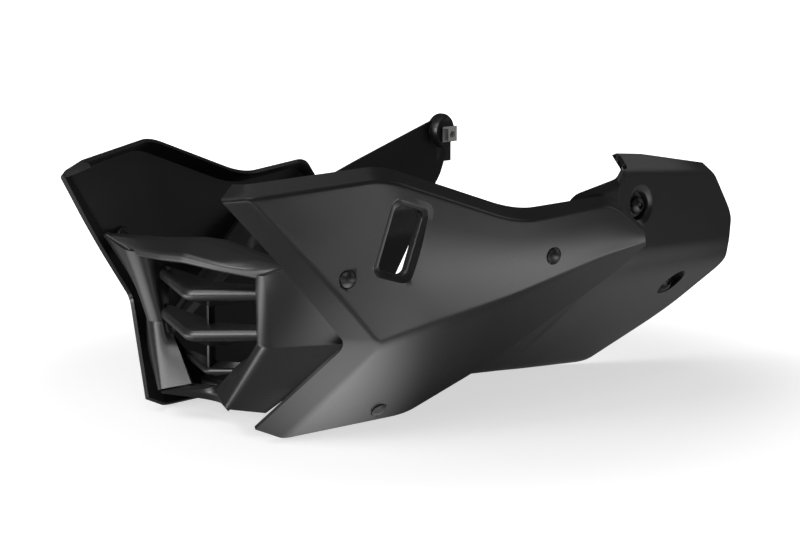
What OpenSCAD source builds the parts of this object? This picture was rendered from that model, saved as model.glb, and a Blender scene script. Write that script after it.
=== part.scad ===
// Motorcycle belly pan in satin black plastic: two side panels, a front grille and a rear tray,
// joined by snap rivets and bolted to the motorcycle through the tray.
// X runs to the rear of the motorcycle, Y to its right-hand side and Z up from the ground.

/* [Side panels] */
// Wall of the moulded side panels
panel_wall = 3; // [2:0.5:4]
// Distance from the middle of the part to the front tips of the panels
tip_reach = 227.5; // [215:0.5:240]
// Height of the crest at the front tip
tip_height = 169; // [160:1:178]
// Height of the crest at its peak
peak_height = 178; // [170:1:188]
// Height of the crest in its dip
dip_height = 141; // [132:1:148]
// Height of the crest at the rear shoulder
shoulder_height = 147; // [140:1:154]
// Distance from the middle of the part back to the tail of a panel
tail_reach = 84; // [76:1:90]
// Height of the tail
tail_height = 124; // [118:1:130]
// Half width of the part over the tails
tail_half = 175; // [168:1:182]
// Height of the lower crease where the front edge is notched
notch_height = 70; // [62:1:78]
// Width of the flange that turns in along the crest
flange_width = 14; // [8:1:18]
// How far the main face of a panel bulges between its creases
crown = 3; // [0:0.5:6]

/* [Window slot] */
// Width of the recess round the window slot, along the panel
slot_width = 31; // [24:1:36]
// Height of that recess, along its own slant
slot_height = 54; // [44:1:60]
// Rearward slant of the slot from upright, in degrees
slot_slant = 17; // [10:1:24]
// Width of the sloping surround, between the panel's face and the opening
slot_surround = 5; // [3:0.5:7]
// Depth of the collar behind the slot
slot_depth = 9; // [6:0.5:14]
// Corner radius of the recess
slot_corner = 7; // [4:0.5:9]

/* [Front grille] */
// Wall of the moulded grille
grille_wall = 3; // [2:0.5:4]
// Half width of the intake at its top corners
intake_half = 72; // [64:1:76]
// Height of the top corners of the intake
intake_top = 112; // [104:1:118]
// Height of the corners half way down the intake
intake_waist = 64; // [58:1:70]
// Height of the lower rail of the intake
intake_sill = 20; // [16:1:26]
// Half width of the lower rail
sill_half = 36; // [30:1:42]
// How far the middle of the top rail stands in front of its corners
rail_bow = 11; // [6:1:16]
// Height of the nose of the upper slat, in the middle
upper_slat = 92.5; // [90:0.5:95]
// Height of the nose of the middle slat, in the middle
middle_slat = 64.5; // [62:0.5:68]
// Height of the nose of the lower slat, in the middle
lower_slat = 37.5; // [36:0.5:40]
// Height of the rounded nose of the upper and middle slats
slat_nose = 9; // [6:0.5:10]
// How far the middle of a slat's rear edge rises above its nose
slat_rise = 6; // [4:0.5:7]
// How far the lip under a slat hangs below its nose
slat_drop = 10; // [7:0.5:11]

/* [Rear tray] */
// Wall of the moulded tray
tray_wall = 3; // [2:0.5:4]
// Half width of the flat floor of the tray at its rear edge
floor_half = 50; // [40:1:58]
// Distance from the middle of the part to the rear edge of the tray
tray_reach = 227; // [218:1:234]
// Half width of the tray over its upright walls, at the widest
tray_half = 156; // [152:1:160]
// How far each upright wall of the tray toes in towards the rear
tray_toe = 15; // [8:1:20]
// Height of the fold between an upright wall and the slope below it
fold_height = 104; // [98:1:110]
// Height of the top of the left wall, at its hook
wing_height = 180; // [174:1:185]
// Width of the flange that leans in along the top of the left wall
wing_flange = 13; // [8:1:16]

/* [Bolts] */
// Thread diameter of the two tray bolts
bolt_d = 6; // [5:0.5:8]
// Diameter of a bolt's domed head
bolt_head_d = 13; // [11:0.5:14]
// Length of a bolt below its head
bolt_length = 30; // [26:1:40]
// Diameter of the pocket round a bolt's head
pocket_d = 20; // [18:0.5:22]
// Depth of the floor of a pocket below the face of the tray
pocket_depth = 9; // [7:0.5:12]
// Height of a bolt's domed head
bolt_head_h = 4.5; // [3.5:0.25:5]
// Height of the upper bolt
upper_bolt_z = 140; // [134:1:146]
// Distance of the upper bolt behind the middle of the part
upper_bolt_x = 104; // [98:1:110]
// Height of the lower bolt
lower_bolt_z = 71; // [66:1:78]
// Distance of the lower bolt behind the middle of the part
lower_bolt_x = 181; // [172:1:188]
// Diameter of the shallow dish round the upper pocket
dish_d = 30; // [27:0.5:32]
// Diameter of the rubber grommet's flanges
grommet_d = 18; // [16:0.5:18]
// Thickness of each flange of the grommet
grommet_flange = 2; // [1.5:0.25:3]
// Outer diameter of the steel spacer inside the grommet
spacer_d = 9.5; // [9:0.25:10]

/* [Snap rivets] */
// Diameter of the domed head of a rivet
rivet_head_d = 11; // [9:0.5:13]
// Height of the domed head
rivet_head_h = 3; // [2:0.25:4]
// Diameter of the rivet's plunger
plunger_d = 4; // [3:0.25:5]
// Wall of the split sleeve round the plunger
sleeve_wall = 1.2; // [1:0.1:1.6]
// Thickness of the tabs behind the panels
tab_wall = 3; // [2:0.5:4]

/* [Right-hand mount] */
// Radius of the rounded end of the right-hand arm
eyelet_r = 15; // [12:0.5:17]
// Thickness of the spring-steel clip nut
clip_sheet = 1.2; // [0.8:0.1:1.6]
// Side of the square nut on the clip
clip_nut = 10; // [9:0.5:12]
// Height of the square nut
clip_nut_h = 5; // [4:0.5:6]

/* [Fits] */
// Clearance between parts that are put together
fit = 0.3; // [0.2:0.05:0.5]

/* [Hidden] */
plastic = [0.10, 0.10, 0.11];
nylon = [0.16, 0.16, 0.17];
rubber = [0.05, 0.05, 0.05];
steel = [0.70, 0.71, 0.72];
black_steel = [0.13, 0.13, 0.14];
eps = 0.01;
// Steps round each crease of a panel
panel_bend = 4;
// Depth of the slot's recess below the back of the panel, and the wall round it
slot_sink = 1.2;
collar_wall = 2.5;

// Vector helpers

function unit(v) = v / norm(v);
function between(a, b, t) = a + (b - a) * t;

// A run is a list of points whose inner corners are softened. Each corner has the shares
// of the spans before and after it that its curve takes. Position t counts spans along the run.
function curve(a, b, c, s) = (1 - s) * (1 - s) * a + 2 * s * (1 - s) * b + s * s * c;
function on_run(run, soft, t) =
  let (last = len(run) - 1, k = max(1, min(last - 1, round(t))),
       before = soft[k - 1][0], after = soft[k - 1][1], i = min(last - 1, floor(t)))
  t >= k - before && t <= k + after
    ? curve(between(run[k], run[k - 1], before), run[k], between(run[k], run[k + 1], after),
            (t - k + before) / (before + after))
    : between(run[i], run[i + 1], t - i);

// Positions along a run: flat steps on the straight stretches and bend steps round each corner
function stops(soft, bend, flat) =
  let (ends = [0, each [for (k = [0:len(soft) - 1]) each [k + 1 - soft[k][0], k + 1 + soft[k][1]]],
               len(soft) + 1])
  [0, each [for (e = [0:len(ends) - 2])
    let (a = ends[e], b = ends[e + 1], steps = e % 2 == 0 ? flat : bend)
    if (b - a > eps) each [for (i = [1:steps]) between(a, b, i / steps)]]];

// A skin is [rows of control points, softness along the rows, softness across the rows]
function skin_point(skin, u, v) =
  on_run([for (row = skin[0]) on_run(row, skin[1], u)], skin[2], v);
function skin_out(skin, u, v) =
  let (e = 0.03, u_end = len(skin[0][0]) - 1, v_end = len(skin[0]) - 1,
       u0 = max(0, u - e), u1 = min(u_end, u + e), v0 = max(0, v - e), v1 = min(v_end, v + e))
  unit(cross(skin_point(skin, u, v1) - skin_point(skin, u, v0),
             skin_point(skin, u1, v) - skin_point(skin, u0, v)));

// A closed sheet of even wall behind a skin
module sheet(skin, wall, bend, flat) {
  us = stops(skin[1], bend, flat);
  vs = stops(skin[2], bend, flat);
  nu = len(us);
  nv = len(vs);
  outside = [for (u = us) for (v = vs) skin_point(skin, u, v)];
  inside = [for (u = us) for (v = vs) skin_point(skin, u, v) - wall * skin_out(skin, u, v)];
  far = nu * nv;
  grid = [for (i = [0:nu - 2]) for (j = [0:nv - 2]) [i * nv + j, (i + 1) * nv + j,
                                                    (i + 1) * nv + j + 1, i * nv + j + 1]];
  rim = [
    each [for (i = [0:nu - 2]) [i * nv, (i + 1) * nv]],
    each [for (j = [0:nv - 2]) [(nu - 1) * nv + j, (nu - 1) * nv + j + 1]],
    each [for (i = [nu - 2:-1:0]) [(i + 1) * nv + nv - 1, i * nv + nv - 1]],
    each [for (j = [nv - 2:-1:0]) [j + 1, j]]
  ];
  polyhedron(concat(outside, inside), [
    each [for (q = grid) each [[q[0], q[1], q[2]], [q[0], q[2], q[3]]]],
    each [for (q = grid) each [[q[0] + far, q[2] + far, q[1] + far],
                               [q[0] + far, q[3] + far, q[2] + far]]],
    each [for (r = rim) each [[r[0], r[1] + far, r[1]], [r[0], r[0] + far, r[1] + far]]]
  ]);
}

// Places its children with their Z axis along a direction, at a point
module aim(point, out) {
  translate(point) rotate([0, acos(out[2]), atan2(out[1], out[0])]) children();
}

// Side panels, drawn as the left-hand one, which lies on the -Y side. Only that one has the window slot.

// Crest: front tip, front ridge, peak, dip, rear shoulder, tail
crest = [
  [-tip_reach, -87, tip_height], [12.6 - tip_reach, -100, tip_height + 1], [-130, -133, peak_height],
  [-25, -154, dip_height], [54, -167, shoulder_height], [tail_reach - 3, -tail_half, tail_height + 2]
];
// Inner edge of the flange along the crest
flange_lean = unit([0.45, 0.75, 0.55]);
flange_share = [1, 1, 1, 1, 0.8, 0.5];
// How far the front edge of the flange slopes back
tip_cut = [12, 0, 0];
flange_edge = [for (k = [0:5]) crest[k] + flange_lean * flange_width * flange_share[k] + (k == 0 ? tip_cut : [0, 0, 0])];
// Lower crease: notch, ridge, below the peak, below the dip, below the shoulder, tail
crease = [
  [-149, -117, notch_height], [-129, -129, notch_height - 2], [-91, -135, notch_height + 5],
  [-25, -150, notch_height + 21], [46, -165, notch_height + 41], [tail_reach - 2, -tail_half, tail_height - 5]
];
// Bottom edge: toe, toe ridge, end of the ground run, rise, rear rise, tail
hem = [
  [-179, -60, 9], [-159, -65, 0], [-52, -71, 0],
  [-6, -100, 30], [74, -152, 94], [tail_reach + 1, -tail_half + 2, tail_height - 8]
];
belly = [for (k = [0:5]) between(crest[k], crease[k], 0.5)
                         + [0, -crown, 0] * norm(crest[k] - crease[k]) / 100];
panel_skin = [
  [flange_edge, crest, belly, crease, hem],
  [[0.35, 0.2], [0.12, 0.14], [0.2, 0.2], [0.15, 0.3]],
  [[0.3, 0.09], [0.5, 0.5], [0.12, 0.12]]
];

// Where each rivet and the slot lie on a panel, as a place along it and a place down it
front_spot = [1.23, 2.12];
rear_spot = [3.4, 2.24];
lower_spot = [1.73, 3.87];
slot_spot = [1.97, 1.8];
spots = [front_spot, rear_spot, lower_spot];
function panel_point(s) = skin_point(panel_skin, s[0], s[1]);
function panel_out(s) = skin_out(panel_skin, s[0], s[1]);

module at_spot(s) {
  aim(panel_point(s), panel_out(s)) children();
}
module rounded_slot(width, height, corner) {
  hull() for (a = [-1, 1], b = [-1, 1])
    translate([a * (height / 2 - corner), b * (width / 2 - corner)]) circle(corner, $fn = 16);
}
module at_slot() {
  at_spot(slot_spot) rotate([0, 0, -slot_slant]) children();
}

// The shell of a left-hand panel, with or without the window slot
module panel_shell(slotted) {
  opening_w = slot_width - 2 * slot_surround;
  opening_h = slot_height - 2 * slot_surround;
  opening_corner = max(1, slot_corner - slot_surround / 2);
  difference() {
    union() {
      sheet(panel_skin, panel_wall, panel_bend, 1);
      if (slotted) at_slot() translate([0, 0, -slot_depth]) linear_extrude(slot_depth - panel_wall / 2)
        rounded_slot(slot_width + 2 * collar_wall, slot_height + 2 * collar_wall, slot_corner + collar_wall);
    }
    if (slotted) {
      at_slot() translate([0, 0, -panel_wall - slot_sink])
        linear_extrude(3 * panel_wall + slot_sink) rounded_slot(slot_width, slot_height, slot_corner);
      at_slot() translate([0, 0, -slot_depth - 1]) linear_extrude(slot_depth + panel_wall)
        rounded_slot(opening_w, opening_h, opening_corner);
    }
    for (s = spots) at_spot(s) {
      translate([0, 0, -2 * panel_wall]) cylinder(4 * panel_wall, r = rivet_hole_r, $fn = 32);
      cylinder(panel_wall, r = rivet_head_d / 2 + fit, $fn = 48);
    }
  }
}

// Snap rivets: a domed plunger in a split sleeve, drawn with the panel's face at Z = 0

sleeve_r = plunger_d / 2 + sleeve_wall;
rivet_hole_r = sleeve_r + fit / 2;
collar_h = 1;
rivet_grip = panel_wall + fit + tab_wall;
barb_h = 3;
barb_r = sleeve_r + 0.8;

module plunger(grip) {
  head_z = collar_h + fit / 2;
  ball_r = (rivet_head_h * rivet_head_h + rivet_head_d * rivet_head_d / 4) / (2 * rivet_head_h);
  color(nylon) {
    intersection() {
      translate([0, 0, head_z + rivet_head_h - ball_r]) sphere(ball_r, $fn = 64);
      translate([0, 0, head_z]) cylinder(rivet_head_h + 1, d = rivet_head_d, $fn = 48);
    }
    translate([0, 0, -grip - barb_h]) cylinder(grip + barb_h + head_z + eps, d = plunger_d - fit, $fn = 32);
  }
}
module sleeve(grip) {
  color(nylon) difference() {
    rotate_extrude($fn = 48) polygon([
      [plunger_d / 2, collar_h], [rivet_head_d / 2 - 0.5, collar_h], [rivet_head_d / 2 - 0.5, fit / 2],
      [sleeve_r, fit / 2], [sleeve_r, -grip - fit], [barb_r, -grip - fit - 0.4],
      [sleeve_r - 0.4, -grip - barb_h], [plunger_d / 2, -grip - barb_h]
    ]);
    for (a = [0, 90]) rotate([0, 0, a]) translate([-barb_r - 1, -0.4, -grip - barb_h - 1])
      cube([2 * barb_r + 2, 0.8, barb_h + tab_wall]);
  }
}
module on_side(side) {
  if (side > 0) mirror([0, 1, 0]) children();
  else children();
}

// A tab or boss that carries a panel at a rivet: a disc behind the panel
module tab_disc(s, deep) {
  at_spot(s) translate([0, 0, -panel_wall - fit - deep]) cylinder(deep, r1 = tab_r, r2 = tab_r - 1.5, $fn = 32);
}
// The hole for a rivet, opened out behind its grip for the barbs
module rivet_hole(grip, deep) {
  translate([0, 0, -2 * grip]) cylinder(3 * grip, r = rivet_hole_r, $fn = 32);
  translate([0, 0, -grip - deep]) cylinder(deep, r = barb_r + fit, $fn = 32);
}
module rivet_bore(s) {
  at_spot(s) rivet_hole(rivet_grip, rear_boss_deep);
}
tab_r = sleeve_r + 5;

// Front grille, one moulding: frame, cheeks, deck, slats, floor lip and the tabs for the panels

intake_x = -180;
waist_x = -171;
frame_depth = 22;
// Corners of the intake on the left: top, waist, lower, bottom
post = [
  [intake_x, -intake_half, intake_top], [waist_x, -intake_half + 10, intake_waist],
  between([waist_x, -intake_half + 10, intake_waist], [intake_x - 2, -sill_half, intake_sill], 0.5),
  [intake_x - 2, -sill_half, intake_sill]
];
// Rear edge of the frame's inner wall
jamb = [
  [intake_x + frame_depth, -intake_half + 17, intake_top - 5],
  [waist_x + 13, -intake_half + 9, intake_waist - 1],
  [waist_x + 13, -sill_half - 5, intake_waist - 16], [waist_x + 13, -sill_half + 9, intake_sill + 11]
];
deck_corner = [intake_x - 3, -101, intake_top + 9];
// Edge of the cheek, tucked in behind the front edge of the panel
cheek_edge = [
  deck_corner + [2, 0, -2],
  crease[0] + [8, 4, 0],
  between(crease[0], hem[0], 0.5) + [8, 6, 0], hem[0] + [12, 2, 10]
];
cheek_skin = [[jamb, post, cheek_edge], [[0.1, 0.1], [0.25, 0.25]], [[0.3, 0.25]]];
// The deck and the sill run past the corners into the cheeks
corner_past = [0, -2, 0];
rail = [
  post[0] + corner_past, [intake_x - 0.7 * rail_bow, -intake_half * 0.42, intake_top + 6],
  [intake_x - rail_bow, 0, intake_top + 9],
  [intake_x - 0.7 * rail_bow, intake_half * 0.42, intake_top + 6],
  mirrored(post[0] + corner_past)
];
// Lower edge of the rail's front face, and the rear edge of the plate under the deck
rail_low = [
  post[0] + corner_past + [1, 1, -4], [intake_x - 0.6 * rail_bow, -intake_half * 0.42, intake_top],
  [intake_x + 1 - rail_bow, 0, intake_top + 2],
  [intake_x - 0.6 * rail_bow, intake_half * 0.42, intake_top],
  mirrored(post[0] + corner_past + [1, 1, -4])
];
rail_under = [
  jamb[0] + 2 * corner_past, [intake_x + frame_depth - 1, -30, intake_top - 2],
  [intake_x + frame_depth - 3, 0, intake_top - 1], [intake_x + frame_depth - 1, 30, intake_top - 2],
  mirrored(jamb[0] + 2 * corner_past)
];
deck_rear = [
  deck_corner, [intake_x + 7, -45, intake_top + 14], [intake_x + 8, 0, intake_top + 19],
  [intake_x + 7, 45, intake_top + 14], mirrored(deck_corner)
];
deck_return = [for (p = deck_rear) p + [18, 0, -4]];
deck_skin = [[rail_under, rail_low, rail, deck_rear, deck_return],
             [[0.15, 0.15], [0.12, 0.12], [0.15, 0.15]], [[0.1, 0.35], [0.3, 0.12], [0.3, 0.3]]];
function mirrored(p) = [p[0], -p[1], p[2]];
sill_end = post[3] + [0.5, -2, 0.5];
sill_rear_end = jamb[3] + [-1, -3, 1];
// The middle of the sill stands back as far as the rear edge of the frame
sill = [sill_end, [intake_x + frame_depth - 1, 0, intake_sill + 0.5], mirrored(sill_end)];
sill_rear = [sill_rear_end, [intake_x + frame_depth + 5, 0, intake_sill + 4], mirrored(sill_rear_end)];
sill_under = [for (p = sill) p + [1.5, 0, -5]];
sill_skin = [[sill_rear, sill, sill_under], [[0.3, 0.3]], [[0.15, 0.3]]];

// A slat is two leaves that part behind a rounded nose. Its ends run into the frame's inner walls.
slat_rear = intake_x + frame_depth - 4;
leaf = 2.5;
rib_wall = 2.5;
function nose_arc(nose) = [for (a = [90:30:270]) [nose / 2 * (1 + cos(a)), nose / 2 * sin(a)]];
function upper_leaf(depth, nose) = [each nose_arc(nose), [depth, slat_rise - leaf], [depth, slat_rise]];
function lower_leaf(depth, nose) =
  [[nose * 0.4, nose * 0.1], [nose * 0.1, -nose * 0.28], [max(nose / 2, depth * 0.7), -slat_drop * depth / 26],
   [max(nose / 2, depth * 0.7) + 1, leaf - slat_drop * depth / 26]];
// Joins four sections across the intake: an end, two beside the bend in the middle, and an end
module across(apex, end, sections) {
  route = [end, between(apex, end, 0.1), between(apex, mirrored(end), 0.1), mirrored(end)];
  n = len(sections[0]);
  polyhedron([for (k = [0:3]) for (q = sections[k]) route[k] + [q[0], 0, q[1]]], [
    [for (j = [n - 1:-1:0]) j],
    [for (j = [0:n - 1]) j + 3 * n],
    for (i = [0:2], j = [0:n - 1])
      [i * n + j, i * n + (j + 1) % n, (i + 1) * n + (j + 1) % n, (i + 1) * n + j]
  ]);
}
module slat(apex, end, nose) {
  depths = [slat_rear - end[0], slat_rear - apex[0] - 1, slat_rear - apex[0] - 1, slat_rear - end[0]];
  across(apex, end, [for (d = depths) upper_leaf(d, nose)]);
  across(apex, end, [for (d = depths) lower_leaf(d, nose)]);
}
module front_grille() {
  color(plastic) difference() {
    union() {
      for (side = [-1, 1]) on_side(side) {
        sheet(cheek_skin, grille_wall, 3, 1);
        hull() {
          tab_disc(front_spot, tab_wall);
          translate(cheek_edge[0] + [2, 6, -12]) cube([4, 4, 14], center = true);
        }
      }
      sheet(deck_skin, grille_wall, 3, 1);
      sheet(sill_skin, grille_wall, 3, 1);
      slat([intake_x - 10, 0, upper_slat], [intake_x + 14, -intake_half + 11, upper_slat + 5], slat_nose);
      slat([intake_x - 9, 0, middle_slat], [intake_x + 13, -intake_half + 12, middle_slat + 6], slat_nose);
      slat([intake_x + 7, 0, lower_slat], [intake_x + 18, -sill_half + 1, lower_slat + 4], slat_nose / 2);
      translate([slat_rear - 8, -rib_wall / 2, lower_slat + leaf])
        cube([6, rib_wall, upper_slat - lower_slat]);
      on_floor_slope() {
        translate([lip_front, -lip_half, fit])
          cube([tray_front + lip_reach - lip_front, 2 * lip_half, grille_wall]);
        translate([lip_front, -lip_half, -grille_wall])
          cube([tray_front - 1 - lip_front, 2 * lip_half, grille_wall + 1]);
      }
    }
    for (side = [-1, 1]) on_side(side) rivet_bore(front_spot);
    at_floor_rivets() cylinder(6 * grille_wall, r = rivet_hole_r, center = true, $fn = 32);
  }
}

// Rear tray

floor_rear = 160;
tray_front = -138;
lip_reach = 26;
lip_half = sill_half - 8;
lip_front = intake_x + frame_depth + 3;
floor_slope = atan(intake_sill / (floor_rear - tray_front));
function floor_z(x) = (floor_rear - x) * tan(floor_slope);
// Turns its children onto the tray's sloping floor, whose upper face is then Z = 0
module on_floor_slope() {
  translate([floor_rear, 0, tray_wall]) rotate([0, floor_slope, 0]) translate([-floor_rear, 0, 0]) children();
}
// Places its children on the axes of the two rivets through the floor
module at_floor_rivets() {
  for (side = [-1, 1]) on_floor_slope() translate([tray_front + lip_reach / 2, side * (sill_half - 12), 0])
    children();
}
toe_start = 82;
// Half width of the upright walls at X
function wall_half(x) = tray_half - (x > toe_start ? tray_toe * (x - toe_start) / (tray_reach - toe_start)
                                                   : (toe_start - x) * 0.01);
// A column of points is added beside the hook, half way between its neighbours
function with_neck(row) =
  [row[0], row[1], row[2], row[3], between(row[3], row[4], 0.5), row[4], row[5], row[6]];
left_wing = [
  // Top edge, whose hook stands forward of its neck
  [[tray_front, -84, 60], [17, -146, 118], [33, -147, 153], [76, -152, 162],
   [81, 2 - wall_half(81), 171], [75, 5 - wall_half(75), wing_height], [107, 5 - wall_half(107), wing_height - 3],
   [185, 1 - wall_half(185), wing_height - 16]],
  // Upper fold
  [[tray_front, -86, 56], [17, -148, 112], [33, -150, 148], [76, -155, 157],
   [80, -wall_half(80), wing_height - wing_flange - 1], [82, -wall_half(80), wing_height - wing_flange],
   [107, -wall_half(107), wing_height - wing_flange - 2], [201, -wall_half(201), wing_height - wing_flange - 13]],
  // Middle of the upright wall
  with_neck([[tray_front, -86, 50], [17, -149, 105], [33, -152, 128], [70, -155, 132],
    [76, -wall_half(76), 134], [107, -wall_half(107), 134], [tray_reach, -wall_half(tray_reach), 121]]),
  // Fold between the upright wall and the slope
  with_neck([[tray_front, -82, 45], [17, -148, fold_height - 6], [33, -152, fold_height], [70, -154, fold_height + 1],
    [76, -wall_half(76), fold_height + 2], [107, 1 - wall_half(107), fold_height + 2],
    [tray_reach - 2, -wall_half(tray_reach), fold_height - 2]]),
  // Upper part of the slope
  with_neck([[tray_front, -72, 38], [17, -132, fold_height - 20], [33, -136, fold_height - 19],
    [70, -138, fold_height - 17], [76, -139, fold_height - 16], [107, -138, fold_height - 17],
    [tray_reach + 3, 7 - wall_half(tray_reach), fold_height - 20]]),
  // Middle of the slope, whose rear end bows out
  with_neck([[tray_front, -55, 29], [17, -87, 46], [33, -89, 46], [70, -91, 46], [76, -92, 46], [107, -92, 46],
    [tray_reach - 17, -93, 43]])
];
floor_line = with_neck([
  [tray_front, -sill_half - 2, floor_z(tray_front)], [17, -floor_half + 8, floor_z(17)],
  [33, -floor_half + 7, floor_z(33)], [70, -floor_half + 5, floor_z(70)], [76, -floor_half + 5, floor_z(76)],
  [107, -floor_half + 2, floor_z(107)], [floor_rear, -floor_half, 0]
]);
right_line = with_neck([for (x = [tray_front, -95, -85, -60, -50, -30, 12])
  [x, between(sill_half + 2, floor_half, (x - tray_front) / 150), floor_z(x)]]);
right_arm = [
  // Slope
  with_neck([[tray_front, 72, 38], [-40, 108, 62], [-20, 115, 66], [20, 120, 72], [30, 122, 73], [70, 125, 76],
    [142, 127, 79]]),
  // Fold between the slope and the upright wall
  with_neck([[tray_front, 82, 45], [-20, 140, 84], [0, 143, 92], [60, 146, fold_height - 4], [70, 147, fold_height - 3],
    [110, 148, fold_height - 1], [174, 148, fold_height]]),
  // Lower part of the upright wall
  with_neck([[tray_front, 86, 50], [-13, 146, 100], [20, 147, 105], [84, 150, 120], [94, 150, 121], [140, 150, 123],
    [200, 149, 126]]),
  // Upper part of the upright wall
  with_neck([[tray_front, 86, 56], [-14, 146, 110], [24, 148, 113], [92, 151, 125], [105, 151, 129], [155, 151, 143],
    [209, 149, 143]]),
  // Top edge
  with_neck([[tray_front, 84, 60], [-16, 145, 121], [26, 147, 121], [96, 151, 131], [109, 151, 134], [157, 151, 165],
    [196, 149, 172]])
];
tray_skin = [concat(left_wing, [floor_line, right_line], right_arm),
  [[0.1, 0.3], [0.3, 0.2], [0.1, 0.2], [0.2, 0.2], [0.2, 0.1], [0.2, 0.1]],
  [[0.3, 0.1], [0.3, 0.3], [0.15, 0.3], [0.3, 0.2], [0.3, 0.3], [0.12, 0.12], [0.12, 0.06], [0.2, 0.2], [0.15, 0.2],
   [0.3, 0.3], [0.3, 0.3]]];

// Tray bolts. Each is drawn on its own axis, pointing out to the left, with Z = 0 where the axis
// meets the face of the tray, and passes through a spacer and a grommet in the floor of its pocket.

// The slope as a plane through its lower rear corner and the two upper ones behind the hook
slope_foot = floor_line[7];
slope_normal = cross(left_wing[4][7] - slope_foot, left_wing[4][6] - slope_foot);
slope_lean = slope_normal[2] / slope_normal[1];
lower_bolt_y = slope_foot[1] - (slope_normal[0] * (lower_bolt_x - slope_foot[0])
                                + slope_normal[2] * (lower_bolt_z - slope_foot[2])) / slope_normal[1];
lower_depth = pocket_depth + 1.5;
dish_sink = 3.5;
pocket_r = pocket_d / 2;
grommet_neck_r = spacer_d / 2 + 2;
shank_r = bolt_d / 2 + 0.5;
thread_length = bolt_length * 0.6;
boss_r = dish_d / 2 + 1.5;

module at_upper_bolt() {
  translate([upper_bolt_x, -wall_half(upper_bolt_x), upper_bolt_z]) rotate([90, 0, 0]) children();
}
module at_lower_bolt() {
  translate([lower_bolt_x, lower_bolt_y, lower_bolt_z]) rotate([90, 0, 0]) children();
}
module bolt(depth) {
  under_head = grommet_flange + 1 + fit - depth;
  ball_r = bolt_head_d * 0.62;
  color(black_steel) difference() {
    union() {
      intersection() {
        translate([0, 0, under_head + bolt_head_h - ball_r]) sphere(ball_r, $fn = 64);
        translate([0, 0, under_head]) cylinder(bolt_head_h + 1, d = bolt_head_d, $fn = 64);
      }
      translate([0, 0, under_head - bolt_length]) rotate_extrude($fn = 48) polygon([
        [0, 0], [bolt_d / 2 - 1, 0], [bolt_d / 2, 1], [bolt_d / 2, thread_length],
        [shank_r, thread_length], [shank_r, bolt_length + 1], [0, bolt_length + 1]
      ]);
    }
    translate([0, 0, under_head + bolt_head_h - 2.5]) cylinder(4, d = bolt_d * 0.77, $fn = 6);
  }
}
module spacer(depth) {
  color(steel) translate([0, 0, -depth]) rotate_extrude($fn = 64) polygon([
    [shank_r + fit / 2, grommet_flange + 1 + fit / 2], [bolt_head_d / 2, grommet_flange + 1 + fit / 2],
    [bolt_head_d / 2, grommet_flange + fit / 2], [spacer_d / 2, grommet_flange + fit / 2],
    [spacer_d / 2, -tray_wall - grommet_flange - 0.5], [shank_r + fit / 2, -tray_wall - grommet_flange - 0.5]
  ]);
}
module grommet(depth) {
  inner_r = spacer_d / 2 + fit / 2;
  color(rubber) translate([0, 0, -depth]) rotate_extrude($fn = 64) polygon([
    [inner_r, grommet_flange], [grommet_d / 2 - 0.5, grommet_flange], [grommet_d / 2, grommet_flange - 0.5],
    [grommet_d / 2, fit / 2], [grommet_neck_r, fit / 2], [grommet_neck_r, -tray_wall - fit / 2],
    [grommet_d / 2 - 1, -tray_wall - fit / 2], [grommet_d / 2 - 1, -tray_wall - grommet_flange + 0.5],
    [grommet_d / 2 - 2, -tray_wall - grommet_flange], [inner_r, -tray_wall - grommet_flange]
  ]);
}
module boss(depth) {
  translate([0, 0, -depth - tray_wall]) cylinder(depth + tray_wall - tray_wall / 2, r = boss_r, $fn = 64);
}
module pocket(depth) {
  translate([0, 0, -depth]) cylinder(depth + 2 * pocket_d, r = pocket_r, $fn = 64);
  translate([0, 0, -depth - 2 * tray_wall]) cylinder(3 * tray_wall, r = grommet_neck_r + fit / 2, $fn = 64);
}

module upper_bolt() { at_upper_bolt() bolt(pocket_depth); }
module upper_spacer() { at_upper_bolt() spacer(pocket_depth); }
module upper_grommet() { at_upper_bolt() grommet(pocket_depth); }
module lower_bolt() { at_lower_bolt() bolt(lower_depth); }
module lower_spacer() { at_lower_bolt() spacer(lower_depth); }
module lower_grommet() { at_lower_bolt() grommet(lower_depth); }

// Right-hand arm of the tray: a rounded eyelet with a half cup round the clip nut

eyelet = [203, 150, 165];
eyelet_wall = tray_wall + 1;
cup_depth = 8;
clip_x = eyelet[0] + 6;
clip_z = eyelet[2] - 3;
clip_face = eyelet[1] - eyelet_wall - fit;
clip_end = eyelet[0] + eyelet_r + fit;

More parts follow.
